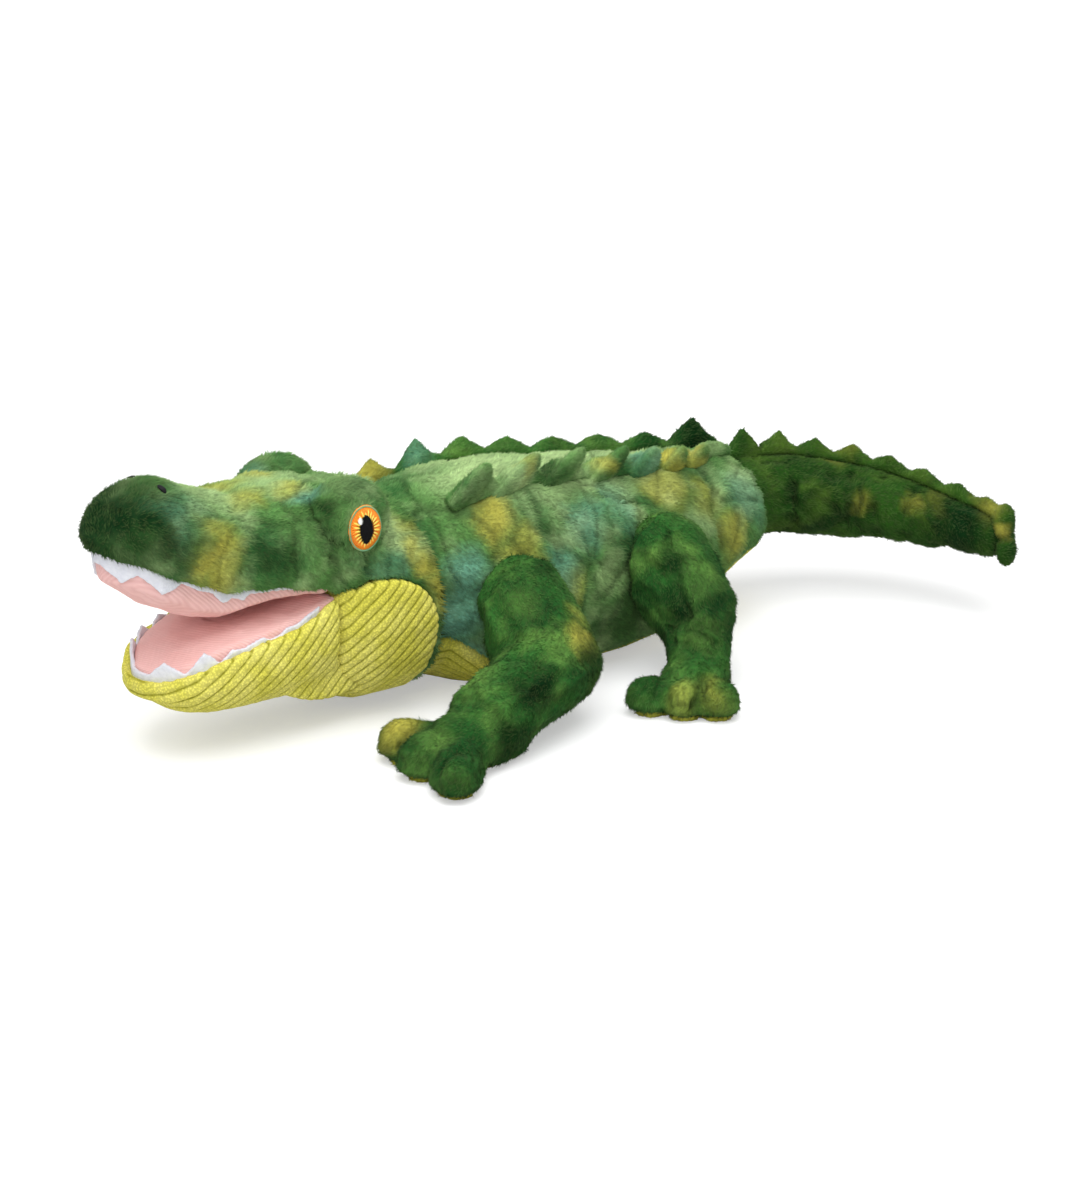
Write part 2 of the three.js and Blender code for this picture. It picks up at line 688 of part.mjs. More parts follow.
// The jaw's round heel seen from the side: a wedge of a circle about the corner of the mouth
function heelOutline(extra, fromAngle) {
  const steps = 14;
  const away = new THREE.Vector2(Math.sin(heelReach), -Math.cos(heelReach)).multiplyScalar(extra);
  const apex = mouthCorner.clone().add(away);
  const reach = heelRadius + 2 * extra;
  const arc = Array.from({ length: steps + 1 }, (_, index) => {
    const angle = Math.PI + THREE.MathUtils.lerp(fromAngle, heelReach, index / steps);
    return new THREE.Vector2(Math.cos(angle), Math.sin(angle)).multiplyScalar(reach).add(apex);
  });
  return [apex, ...arc];
}

// All that lies below the upper jaw's edge, seen from the side, as far back as the corner
function mouthOutline(lift) {
  const steps = 20;
  const corner = new THREE.Vector2(-mouthCornerSetback + seamGap, mouthCornerHeight + seamGap + lift);
  const reach = (snoutTipSetback - mouthCornerSetback) / snoutLength;
  const edge = Array.from({ length: steps }, (_, index) => {
    const { x, edge: height } = snoutAt((index / steps) * reach);
    return new THREE.Vector2(x, height + lift);
  });
  const far = -snoutTipSetback - cutOverrun;
  return [
    new THREE.Vector2(far, -cutOverrun), new THREE.Vector2(far, upperEdgeHeight + lift), ...edge, corner,
    new THREE.Vector2(corner.x, -cutOverrun),
  ];
}

// A jaw's edge from the left corner of the mouth round its front to the right one, drawn inwards
function edgeLine(jaw, inset, steps = 12) {
  const side = Array.from({ length: steps }, (_, index) => jaw.edgeAt(((index + 1) / steps) ** 2));
  const near = [...side].reverse().map(({ x, half }) => new THREE.Vector3(x, -half, 0));
  const far = side.map(({ x, half }) => new THREE.Vector3(x, half, 0));
  const line = [...near, new THREE.Vector3(jaw.edgeAt(0).x, 0, 0), ...far];
  return line.map((point, index) => {
    const before = line[Math.max(0, index - 1)];
    const after = line[Math.min(line.length - 1, index + 1)];
    const along = after.clone().sub(before).normalize();
    const x = point.x + along.y * inset;
    return new THREE.Vector3(x, point.y - along.x * inset, jaw.edgeHeight(x));
  });
}

function edgePrism(jaw, inset) {
  const plan = edgeLine(jaw, inset).map((point) => new THREE.Vector2(point.x, point.y));
  return plateUp(plan, -cutOverrun, torsoHeight * 2);
}

// The upper jaw's edge lies a little inside its swelling side and ends at the corner of the mouth
const upperJaw = {
  edgeAt(share) {
    const { x, half, edge } = snoutAt((share * (snoutTipSetback - mouthCornerSetback)) / snoutLength);
    return { x, half: half * edgeHalfShare, edge };
  },
  edgeHeight: (x) => snoutAt((x + snoutTipSetback) / snoutLength).edge,
};

const jawLength = jawTipSetback - mouthCornerSetback;

function jawAt(t) {
  return {
    x: -jawTipSetback + jawLength * t,
    half: smooth(jawHalfShares, t) * jawHalfWidth * roundEnd(t, jawRoundShare),
    edge: smooth(jawEdgeShares, t) * jawEdgeHeight,
    bottom: smooth(jawBottomShares, t) * jawFloorHeight,
  };
}

const lowerJaw = {
  edgeAt(share) {
    const { x, half, edge } = jawAt(share);
    return { x, half: half * edgeHalfShare, edge };
  },
  edgeHeight: (x) => jawAt((x + jawTipSetback) / jawLength).edge,
};

// The lower jaw: its sections reach on above its edge
function jawForm(inset, sides, ringCount) {
  const rings = endedShares(ringCount).map((t) => {
    const { x, edge, bottom } = jawAt(t + (inset / jawLength) * (1 - 2 * t));
    const { half } = jawAt(t);
    const end = roundEnd(t, jawEndShare) ** jawEndPower;
    const full = THREE.MathUtils.lerp(bottom, edge, jawMiddleShare);
    return sectionRing({
      centre: new THREE.Vector3(x, 0, full), side: sideways, up: upwards, sides, half: half - inset * end,
      rise: edge - full + edgeOverlap * end, drop: (full - bottom - inset) * end,
      fullness: jawFullness, lowerFullness: jawLowerFullness,
    });
  });
  const backX = -mouthCornerSetback - inset;
  const back = rings[rings.length - 1].map((point) => new THREE.Vector3(backX, point.y, point.z));
  return loft([...rings, back]);
}

// All that lies above the lower jaw's edge, seen from the side
function jawTopOutline(lift) {
  const steps = 16;
  const edge = Array.from({ length: steps + 1 }, (_, index) => {
    const { x, edge: height } = jawAt(index / steps);
    return new THREE.Vector2(x, height + lift);
  });
  const front = new THREE.Vector2(-jawTipSetback - cutOverrun, jawEdgeHeight + lift);
  const back = new THREE.Vector2(-mouthCornerSetback + cutOverrun, mouthCornerHeight + lift);
  const topFront = new THREE.Vector2(front.x, mouthCornerHeight + edgeOverlap * 2);
  return [topFront, front, ...edge, back, new THREE.Vector2(back.x, topFront.y)];
}

// A felt strip sewn in along a jaw's edge, with teeth cut in its free side
function feltStrip({ jaw, direction, depth, toothSize, toothShares, reachShare }) {
  const [outer, inner] = [feltInset, feltInset + feltThickness].map((draw) =>
    new THREE.CatmullRomCurve3(edgeLine(jaw, draw)));
  const tips = toothShares.map(([place, size]) => ({ place, size }));
  const ends = [{ place: 0, size: 0 }, ...tips, { place: reachShare, size: 0 }];
  const half = ends.flatMap((end, index) => {
    const next = ends[index + 1];
    const isLast = index >= ends.length - 2;
    return next && !isLast ? [end, { place: (end.place + next.place) / 2, size: 0 }] : [end];
  });
  const whole = [...half.slice(1).reverse().map(({ place, size }) => ({ place: -place, size })), ...half];
  const rings = whole.map(({ place, size }) => {
    const narrow = Math.abs(place) >= reachShare ? feltEndShare : 1;
    const free = direction * (depth * narrow + toothSize * size);
    const at = (curve, rise) => curve.getPointAt(0.5 + place / 2).addScaledVector(upwards, rise);
    const tuck = -direction * liningTuck;
    return [at(outer, tuck), at(outer, free), at(inner, free), at(inner, tuck)];
  });
  return loft(rings);
}

// A stuffed lining: flat where it is tucked in behind the edge, bulging into the mouth
function lining({ jaw, direction, bulge, bulgeShares }) {
  const rings = endedShares(8).map((t) => {
    const { x, half, edge } = jaw.edgeAt(t * liningReachShare);
    const [tucked, swollen] = [liningTuck, Math.max(smooth(bulgeShares, t), liningLeastShare) * bulge];
    const [rise, drop] = direction > 0 ? [swollen, tucked] : [tucked, swollen];
    const [fullness, lowerFullness] = direction > 0
      ? [liningFullness, liningTuckFullness] : [liningTuckFullness, liningFullness];
    return sectionRing({
      centre: new THREE.Vector3(x, 0, edge), side: sideways, up: upwards, sides: 14,
      half: half * liningHalfShare, rise, drop, fullness, lowerFullness,
    });
  });
  return loft(rings).intersect(edgePrism(jaw, liningInset));
}

const skullOuter = skullForm(0, 22, 7);
const snoutOuter = snoutForm(0, 20, 12);
const mouthGap = plateAcross(mouthOutline(0), -torsoWidth, torsoWidth);
const upperSeamRoom = plateAcross(mouthOutline(liningTuck + seamGap), -torsoWidth, torsoWidth)
  .intersect(edgePrism(upperJaw, clothThickness));
const cheekPlate = (extra) => plateAcross(cheekOutline(extra), -torsoWidth, torsoWidth);
const heelHollow = plateAcross(
  heelOutline(seamGap, heelHollowFrom), -heelHalfWidth - seamGap, heelHalfWidth + seamGap,
);
// All that lies behind the head's rim, which leans forward above the neck's middle
const behindRim = plateAcross([
  new THREE.Vector2(-neckRimSetback, -cutOverrun), new THREE.Vector2(torsoLength, -cutOverrun),
  new THREE.Vector2(torsoLength, neckHeight + 2 * neckHalfHeight),
  new THREE.Vector2(-neckRimSetback - 2 * neckRimLean, neckHeight + 2 * neckHalfHeight),
  new THREE.Vector2(-neckRimSetback, neckHeight),
], -torsoWidth, torsoWidth);
const headCuts = [mouthGap, cheekPlate(seamGap), heelHollow, neckHollow, behindRim];
const headHollow = joined([snoutForm(coverThickness, 14, 9), skullForm(coverThickness, 14, 5)]);
const headStuffing = joined([
  snoutForm(fillingInset, 14, 9),
  skullForm(fillingInset, 14, 5),
]);
const headWhole = joined([snoutOuter, skullOuter]);
const headCover = cut(headWhole, [headHollow, upperSeamRoom, ...headCuts]);
const upperLiningRoom = plateAcross(mouthOutline(liningTuck + seamGap * 2), -torsoWidth, torsoWidth);
const heelRoom = plateAcross(heelOutline(coverThickness, 0), -torsoWidth, torsoWidth);
const headFilling = cut(headStuffing, [
  upperLiningRoom, cheekPlate(coverThickness), heelRoom,
  turningHollow(0, neckHeight, neckRadius + seamGap, neckHalfHeight + seamGap), behindRim,
]);
const cheekPanel = cut(skullForm(-cheekProud, 22, 7).intersect(cheekPlate(0)), [
  mouthGap, heelHollow, neckHollow, behindRim,
]);
const palate = lining({ jaw: upperJaw, direction: -1, bulge: palateBulge, bulgeShares: palateBulgeShares });
const upperTeeth = feltStrip({
  jaw: upperJaw, direction: -1, depth: upperFeltDepth, toothSize: upperToothDepth,
  toothShares: upperToothShares, reachShare: upperFeltReachShare,
});

// Lower jaw

const jawTop = plateAcross(jawTopOutline(0), -torsoWidth, torsoWidth);
const lowerSeamRoom = plateAcross(jawTopOutline(-liningTuck - seamGap), -torsoWidth, torsoWidth)
  .intersect(edgePrism(lowerJaw, clothThickness));
const heel = plateAcross(heelOutline(0, heelFrom), -heelHalfWidth, heelHalfWidth);
const jawCover = cut(joined([jawForm(0, 20, 9), heel]), [
  jawTop, lowerSeamRoom, jawForm(coverThickness, 12, 6),
]);
const lowerLiningRoom = plateAcross(jawTopOutline(-liningTuck - seamGap * 2), -torsoWidth, torsoWidth);
const jawFilling = jawForm(fillingInset, 12, 6).subtract(lowerLiningRoom);
const mouthFloor = lining({
  jaw: lowerJaw, direction: 1, bulge: mouthFloorBulge, bulgeShares: mouthFloorBulgeShares,
});
const lowerTeeth = feltStrip({
  jaw: lowerJaw, direction: 1, depth: lowerFeltHeight, toothSize: lowerToothHeight,
  toothShares: lowerToothShares, reachShare: lowerFeltReachShare,
});

// Eyes and nostrils

// The stuffed mound that carries an eye, with its skin moved outwards by a distance
function mound(sign, extra) {
  const ball = new THREE.SphereGeometry(1, 16, 8);
  ball.rotateX(Math.PI / 2);
  ball.scale(moundHalfLength + extra, moundHalfWidth + extra, moundHalfHeight + extra);
  ball.translate(-moundSetback, sign * moundOut, moundHeight);
  return solidOf(ball);
}

// An oval bar that reaches from a place in a direction, as wide and tall as the patch cut with it
function ovalBar({ place, away, width, height, reach }) {
  const bar = new THREE.CylinderGeometry(1, 1, reach, 16);
  bar.rotateX(Math.PI / 2);
  bar.scale(width / 2, height / 2, 1);
  const turn = new THREE.Matrix4().lookAt(away, new THREE.Vector3(), upwards);
  bar.applyMatrix4(turn);
  bar.translate(...place.toArray());
  return solidOf(bar);
}

function eye(sign) {
  const away = new THREE.Vector3(-Math.sin(eyeForwardTurn), sign * Math.cos(eyeForwardTurn), 0);
  const place = new THREE.Vector3(-eyeSetback, sign * (moundOut + moundHalfWidth), eyeLift);
  const bar = ovalBar({ place, away, width: eyeWidth, height: eyeHeight, reach: moundHalfWidth });
  return bar.intersect(mound(sign, seamGap + threadThickness)).subtract(mound(sign, seamGap));
}

function nostril(sign) {
  const place = new THREE.Vector3(-nostrilSetback, sign * nostrilOut, snoutTopHeight);
  const size = { width: nostrilLength, height: nostrilWidth, reach: snoutHalfWidth };
  const bar = ovalBar({ place, away: upwards, ...size });
  return bar.intersect(snoutForm(-seamGap - threadThickness, 20, 12)).subtract(snoutForm(-seamGap, 20, 12));
}

// Legs

// A stuffed stretch with a round end about each of two points, as high as its flatness share
function limb({ from, to, radii, flatShare = 1, sides = 12, ringCount = 6 }) {
  const axis = to.clone().sub(from);
  const span = axis.length();
  axis.normalize();
  const side = new THREE.Vector3().crossVectors(upwards, axis).normalize();
  const up = new THREE.Vector3().crossVectors(axis, side);
  const [start, end] = [radii[0], radii[radii.length - 1]];
  const rings = endedShares(ringCount).map((t) => {
    const along = THREE.MathUtils.lerp(-start, span + end, t);
    const beyond = along < 0 ? -along / start : Math.max(0, along - span) / end;
    const radius = smooth(radii, along / span) * Math.sqrt(1 - beyond ** 2);
    const centre = from.clone().addScaledVector(axis, along);
    return sectionRing({
      centre, side, up, sides, half: radius, rise: radius * flatShare, drop: radius * flatShare,
    });
  });
  return loft(rings);
}

// The place of a leg's joint on its own side of the animal
const legPoint = ({ x, out, height }, sign) => new THREE.Vector3(x, sign * out, height);

// The upper and lower stretches of a leg, apart from its paw
function legStretches(leg, sign, inset, shape) {
  const stretches = [[leg.shoulder, leg.elbow, 1], [leg.forearm, leg.wrist, forearmFlatShare]];
  return joined(stretches.map(([from, to, flatShare]) => limb({
    from: legPoint(from, sign), to: legPoint(to, sign),
    radii: [from.radius - inset, to.radius - inset], flatShare, ...shape,
  })));
}

function paw(leg, sign) {
  const palmHeight = leg.palm.radius * pawFlatShare - flatDepth;
  const palm = legPoint({ ...leg.palm, height: palmHeight }, sign);
  const heading = new THREE.Vector3(Math.cos(leg.toeHeading), -sign * Math.sin(leg.toeHeading), 0);
  const pad = limb({
    from: legPoint({ ...leg.wrist, height: palmHeight }, sign), to: palm,
    radii: [leg.palm.radius, leg.palm.radius], flatShare: pawFlatShare, ringCount: 5,
  });
  const toes = leg.toeLengthShares.map((share, index) => {
    const way = heading.clone().applyAxisAngle(upwards, -sign * (index - 1) * leg.toeFan);
    const from = palm.clone().setZ(leg.toeRadius * toeFlatShare - flatDepth);
    const tip = from.clone().addScaledVector(way, leg.toeLength * share);
    return limb({
      from, to: tip, radii: [leg.toeRadius, leg.toeRadius], flatShare: toeFlatShare,
      sides: 10, ringCount: 5,
    });
  });
  return joined([pad, ...toes]);
}

function legPieces({ leg, side, sign }) {
  const inner = sign < 0 ? [-legPlaneOut, torsoWidth] : [-torsoWidth, legPlaneOut];
  const bodySide = boxBetween(
    new THREE.Vector3(-torsoLength, inner[0], -torsoHeight),
    new THREE.Vector3(torsoLength * 2, inner[1], torsoHeight * 2),
  );
  const slice = (low, high) => boxBetween(
    new THREE.Vector3(-torsoLength, -torsoLength, low),
    new THREE.Vector3(torsoLength * 2, torsoLength, high),
  );
  const seat = barBetween(
    new THREE.Vector3(leg.seatX, sign * legSeatOut, leg.seatHeight),
    new THREE.Vector3(leg.seatX, sign * (legPlaneOut + cutOverrun), leg.seatHeight), leg.seatRadius, 20,
  );
  const hole = barBetween(
    new THREE.Vector3(leg.seatX, sign * (legSeatOut - cutOverrun), leg.seatHeight),
    new THREE.Vector3(leg.seatX, sign * (legPlaneOut + cutOverrun), leg.seatHeight), stuffingHoleRadius, 12,
  );
  const coarse = { sides: 8, ringCount: 4 };
  const whole = joined([legStretches(leg, sign, 0, {}), paw(leg, sign)]);
  const outside = whole.subtract(bodySide);
  const hollow = legStretches(leg, sign, coverThickness, coarse).subtract(bodySide);
  const aboveSole = slice(soleThickness + seamGap, torsoHeight);
  const cover = cut(joined([outside, seat]), [hollow, hole]).intersect(aboveSole);
  const sole = outside.intersect(slice(0, soleThickness));
  const filling = legStretches(leg, sign, fillingInset, coarse).subtract(bodySide)
    .intersect(slice(soleThickness + 2 * seamGap, torsoHeight));
  const name = `${leg.name}_${side}`;
  return { [`${name}_leg`]: cover, [`${name}_sole`]: sole, [`${name}_leg_filling`]: filling };
}

// Colours and finishes
const cloths = {
  plush: { color: 0x4f7d3f, roughness: 0.95, metalness: 0 },
  corduroy: { color: 0xb9b63c, roughness: 0.95, metalness: 0 },
  felt: { color: 0xf3f1f6, roughness: 1, metalness: 0 },
  lining: { color: 0xefb7ae, roughness: 0.95, metalness: 0 },
  stuffing: { color: 0xf2efe6, roughness: 1, metalness: 0 },
  eye: { color: 0xf29a1f, roughness: 0.7, metalness: 0 },
  thread: { color: 0x111411, roughness: 0.8, metalness: 0 },
};

const animal = new THREE.Group();

function addPiece(name, solid, cloth) {
  const mesh = new THREE.Mesh(geometryOf(solid), new THREE.MeshStandardMaterial(cloths[cloth]));
  mesh.name = name;
  animal.add(mesh);
}

addPiece('torso_cover', torsoCover, 'plush');
addPiece('belly_panel', bellyPanel, 'corduroy');
addPiece('torso_filling', torsoFilling, 'stuffing');
addPiece('back_ridge_left', leftRidge, 'plush');
addPiece('back_ridge_right', rightRidge, 'plush');
addPiece('tail_cover', tailCover, 'plush');
addPiece('tail_filling', tailFilling, 'stuffing');
addPiece('tail_ridge', tailRidge, 'plush');
addPiece('head_cover', headCover, 'plush');
addPiece('head_filling', headFilling, 'stuffing');
addPiece('cheek_panel', cheekPanel, 'corduroy');
addPiece('palate_lining', palate, 'lining');
addPiece('upper_teeth', upperTeeth, 'felt');
addPiece('jaw_cover', jawCover, 'corduroy');
addPiece('jaw_filling', jawFilling, 'stuffing');
addPiece('mouth_floor_lining', mouthFloor, 'lining');
addPiece('lower_teeth', lowerTeeth, 'felt');
legSides.forEach(([side, sign]) => {
  const skin = [snoutForm(-seamGap, 20, 12), skullForm(-seamGap, 22, 7)];
  addPiece(`eye_mound_${side}`, cut(mound(sign, 0), skin), 'plush');
  addPiece(`eye_${side}`, eye(sign), 'eye');
  addPiece(`nostril_${side}`, nostril(sign), 'thread');
});
legs.forEach((place) => {
  Object.entries(legPieces(place)).forEach(([name, solid]) => {
    const cloth = name.endsWith('filling') ? 'stuffing' : 'plush';
    addPiece(name, solid, cloth);
  });
});

// The origin lies under the middle of the animal
const reach = new THREE.Box3().setFromObject(animal);
animal.position.x = -(reach.min.x + reach.max.x) / 2;

export default animal;
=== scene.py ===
import itertools
import math

import bmesh
import bpy
import numpy as np
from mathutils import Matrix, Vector
from mathutils.bvhtree import BVHTree

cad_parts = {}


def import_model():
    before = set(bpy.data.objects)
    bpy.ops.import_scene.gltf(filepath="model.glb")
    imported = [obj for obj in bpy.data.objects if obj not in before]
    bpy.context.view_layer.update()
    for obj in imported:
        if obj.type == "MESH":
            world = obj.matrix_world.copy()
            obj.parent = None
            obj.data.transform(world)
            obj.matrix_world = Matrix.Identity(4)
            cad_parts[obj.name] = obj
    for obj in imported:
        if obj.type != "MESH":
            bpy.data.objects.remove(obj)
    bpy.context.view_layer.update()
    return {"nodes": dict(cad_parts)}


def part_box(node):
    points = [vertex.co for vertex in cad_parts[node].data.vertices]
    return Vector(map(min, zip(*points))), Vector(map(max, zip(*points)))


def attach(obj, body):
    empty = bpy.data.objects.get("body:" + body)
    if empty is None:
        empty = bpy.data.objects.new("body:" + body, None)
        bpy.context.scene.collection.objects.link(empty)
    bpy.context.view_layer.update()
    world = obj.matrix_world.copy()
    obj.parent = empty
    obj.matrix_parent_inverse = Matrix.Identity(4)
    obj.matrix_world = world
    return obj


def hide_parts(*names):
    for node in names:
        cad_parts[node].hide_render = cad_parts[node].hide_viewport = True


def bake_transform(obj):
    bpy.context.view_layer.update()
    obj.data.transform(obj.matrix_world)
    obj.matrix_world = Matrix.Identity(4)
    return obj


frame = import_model()

mm = 0.001
tiny = 1e-12
sides = (("left", -1), ("right", 1))

# Places along the animal, measured back from the neck's turning axis
neck_x = -66.952 * mm


def along(x, out, height):
    """A point in the row frame from sizes in millimetres: back from the neck's axis, out and up."""
    return (neck_x + x * mm, out * mm, height * mm)


# Smooth random values

cell_factors = np.array([374761393, 668265263, 974634777])
seed_factor = 144665
mix_factor = 1274126177
lattice_levels = 0xFFFF
noise_layers = range(3)


def lattice_value(cell, seed):
    """A fixed random value from -1 to 1 for each whole-numbered corner of space."""
    mixed = (cell * cell_factors).sum(axis=1) + seed * seed_factor
    mixed = (mixed ^ (mixed >> 13)) * mix_factor
    return ((mixed ^ (mixed >> 16)) & lattice_levels) / (lattice_levels / 2) - 1


def noise(points, size, seed=0):
    """Smooth random values from -1 to 1, in lumps of about that size."""
    place = points / size
    cell = np.floor(place).astype(np.int64)
    part = place - cell
    part = part * part * (3 - 2 * part)
    total = np.zeros(len(points))
    for corner in itertools.product((0, 1), repeat=3):
        share = np.where(corner, part, 1 - part).prod(axis=1)
        total += share * lattice_value(cell + np.array(corner), seed)
    return total


def layered_noise(points, size, seed):
    """Noise with finer and weaker layers on top of the first."""
    total = sum(noise(points, size / 2 ** layer, seed + layer) / 2 ** layer for layer in noise_layers)
    return total / sum(1 / 2 ** layer for layer in noise_layers)


def rise(values, low, high):
    """A smooth step from 0 at low to 1 at high."""
    share = np.clip((values - low) / (high - low), 0, 1)
    return share * share * (3 - 2 * share)


def wandered(points, reach, size, seed):
    """The points, each moved by a smooth random amount up to about reach."""
    shift = np.stack([noise(points, size, seed + axis) for axis in range(3)], axis=1)
    return points + reach * shift


def on_line(points, line):
    """Each point's distance from a bent line, its place along the line and the line's direction there."""
    corners = np.array([along(*corner) for corner in line])
    nearest, place, lie = np.full(len(points), np.inf), np.zeros(len(points)), np.zeros((len(points), 3))
    walked = 0
    for start, end in zip(corners[:-1], corners[1:]):
        run = end - start
        length = np.linalg.norm(run)
        share = np.clip((points - start) @ run / length ** 2, 0, 1)
        away = np.linalg.norm(points - start - share[:, None] * run, axis=1)
        nearer = away < nearest
        nearest[nearer], lie[nearer] = away[nearer], run / length
        place[nearer] = walked + share[nearer] * length
        walked += length
    return nearest, place, lie


# Meshes

def read_rows(rows, field, width, kind=np.float32):
    """A field of Blender's data as an array, with a row for each of its items."""
    values = np.empty(len(rows) * width, kind)
    rows.foreach_get(field, values)
    return values.reshape(-1, width)


def arrays_of(mesh):
    """The points, triangles and outward directions of a mesh, as arrays."""
    mesh.calc_loop_triangles()
    points, outward = read_rows(mesh.vertices, "co", 3), read_rows(mesh.vertex_normals, "vector", 3)
    triangles = read_rows(mesh.loop_triangles, "vertices", 3, np.int32)
    return points.astype(float), triangles, outward.astype(float)


def points_of(piece):
    """The points of a piece, as an array."""
    return arrays_of(piece.data)[0]


def smooth(mesh):
    """Shades the mesh as one smooth surface."""
    mesh.polygons.foreach_set("use_smooth", np.ones(len(mesh.polygons), bool))


def lengths(rows):
    """The length of each row, as a column."""
    return np.linalg.norm(rows, axis=1, keepdims=True)


def mesh_of(name, points, triangles):
    """A mesh of triangles from arrays."""
    mesh = bpy.data.meshes.new(name)
    mesh.vertices.add(len(points))
    mesh.vertices.foreach_set("co", points.astype(np.float32).ravel())
    mesh.loops.add(triangles.size)
    mesh.loops.foreach_set("vertex_index", triangles.astype(np.int32).ravel())
    mesh.polygons.add(len(triangles))
    mesh.polygons.foreach_set("loop_start", np.arange(0, triangles.size, 3, dtype=np.int32))
    mesh.update(calc_edges=True)
    smooth(mesh)
    return mesh


def piece_of(name, mesh):
    """An object in the scene that holds a mesh, a light or a camera."""
    piece = bpy.data.objects.new(name, mesh)
    bpy.context.scene.collection.objects.link(piece)
    return piece


# Each kind of attribute: the name of its values and how many numbers one has
fields = {"FLOAT": ("value", 1), "FLOAT_VECTOR": ("vector", 3), "FLOAT_COLOR": ("color", 4)}


def note(mesh, name, kind, values):
    """Writes values for each point into a named attribute."""
    attribute = mesh.attributes.get(name) or mesh.attributes.new(name, kind, "POINT")
    attribute.data.foreach_set(fields[kind][0], np.asarray(values, np.float32).ravel())


def noted(mesh, name, kind):
    """Reads a named attribute back, a row for each point."""
    return read_rows(mesh.attributes[name].data, *fields[kind])


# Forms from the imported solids

weld_reach = 0.001 * mm
skin_reach = 3 * mm
filling_depth = 3.7 * mm
floor_gap = 0.15 * mm
upward = Vector((0, 0, 1))


def solid_form(node):
    """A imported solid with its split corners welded."""
    form = bmesh.new()
    form.from_mesh(frame["nodes"][node].data)
    bmesh.ops.remove_doubles(form, verts=form.verts, dist=weld_reach)
    return form


def tree_of(piece):
    """A piece's surface, to search and to cast rays at."""
    points, triangles, _ = arrays_of(piece.data)
    return BVHTree.FromPolygons(points.tolist(), triangles.tolist())


def outer_form(cover, filling):
    """A cover's outer surface alone, closed over the hole that its filling goes in by."""
    form = solid_form(cover)
    form.normal_update()
    tree = tree_of(frame["nodes"][filling])
    inner = []
    for face in form.faces:
        start = face.calc_center_median() + face.normal * weld_reach
        if tree.ray_cast(start, face.normal, skin_reach)[0] is not None:
            inner.append(face)
    bmesh.ops.delete(form, geom=inner, context="FACES")
    bmesh.ops.holes_fill(form, edges=form.edges, sides=0)
    bmesh.ops.triangulate(form, faces=form.faces)
    return form


def with_modifiers(name, mesh, modifiers):
    """The mesh after a row of modifiers, each with its settings."""
    source = piece_of(name + "_source", mesh)
    for kind, settings in modifiers:
        modifier = source.modifiers.new(kind.lower(), kind)
        for key, value in settings.items():
            setattr(modifier, key, value)
    evaluated = source.evaluated_get(bpy.context.evaluated_depsgraph_get())
    result = bpy.data.meshes.new_from_object(evaluated)
    bpy.data.objects.remove(source)
    result.name = name
    return result


def rebuilt(name, form, grid, rounds, levels, swell=0, held=None, lower=None):
    """The form as a piece with an even, fine surface: filled, swollen and lowered where that is given."""
    mesh = bpy.data.meshes.new(name)
    form.to_mesh(mesh)
    form.free()
    mesh = with_modifiers(name, mesh, [("REMESH", {"mode": "VOXEL", "voxel_size": grid}),
                                       ("SMOOTH", {"factor": 0.5, "iterations": rounds})])
    if held is not None:
        fill_with_air(mesh, *held)
    if levels:
        mesh = with_modifiers(name, mesh, [("SUBSURF", {"levels": levels, "render_levels": levels})])
    smooth(mesh)
    piece = piece_of(name, mesh)
    push(piece, swell)
    if lower is not None:
        place(piece.data, lower(points_of(piece)))
    return piece


def push(piece, height):
    """Moves each point of the piece outward by its height, and keeps it above the floor."""
    points, _, outward = arrays_of(piece.data)
    place(piece.data, points + outward * np.broadcast_to(height, len(points))[:, None])


def place(mesh, points):
    """Puts the mesh's points there, and keeps them above the floor."""
    moved = points.copy()
    moved[:, 2] = np.maximum(moved[:, 2], floor_gap)
    mesh.vertices.foreach_set("co", moved.astype(np.float32).ravel())
    mesh.update()


def near_nodes(points, nodes, reach):
    """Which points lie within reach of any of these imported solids: 1 or 0."""
    near = np.zeros(len(points))
    for tree in (tree_of(frame["nodes"][node]) for node in nodes):
        near = np.maximum(near, [tree.find_nearest(point, reach)[0] is not None for point in points])
    return near


# Cloth

air_pressure = 4
cloth_stiffness = 15
bend_stiffness = cloth_mass = 0.1
cloth_steps = 14


def fill_with_air(mesh, holding, cap, slack):
    """A short cloth simulation: the cover swells and wrinkles between the points that are held."""
    start = arrays_of(mesh)[0]
    source = piece_of("cloth_source", mesh)
    group = source.vertex_groups.new(name="held")
    weights = np.round(np.clip(holding(start), 0, 1), 1)
    for weight in np.unique(weights):
        group.add(np.nonzero(weights == weight)[0].tolist(), float(weight), "REPLACE")
    cloth = source.modifiers.new("cloth", "CLOTH")
    settings = cloth.settings
    settings.quality = 5
    settings.mass = cloth_mass
    settings.use_pressure = True
    settings.uniform_pressure_force = air_pressure
    settings.tension_stiffness = settings.compression_stiffness = cloth_stiffness
    settings.bending_stiffness = bend_stiffness
    settings.shrink_min = -slack
    settings.vertex_group_mass = "held"
    settings.effector_weights.gravity = 0
    cloth.collision_settings.use_collision = False
    scene = bpy.context.scene
    cloth.point_cache.frame_start, cloth.point_cache.frame_end = 1, cloth_steps
    for step in range(1, cloth_steps + 1):
        scene.frame_set(step)
    evaluated = source.evaluated_get(bpy.context.evaluated_depsgraph_get())
    end = read_rows(evaluated.data.vertices, "co", 3)
    scene.frame_set(1)
    moved = end - start
    reach = lengths(moved) + tiny
    bpy.data.objects.remove(source)
    place(mesh, start + moved / reach * cap * np.tanh(reach / cap))


# Quilting and folds

seed_tries = 5000
fold_wander, fold_wander_size = 0.8 * mm, 7 * mm


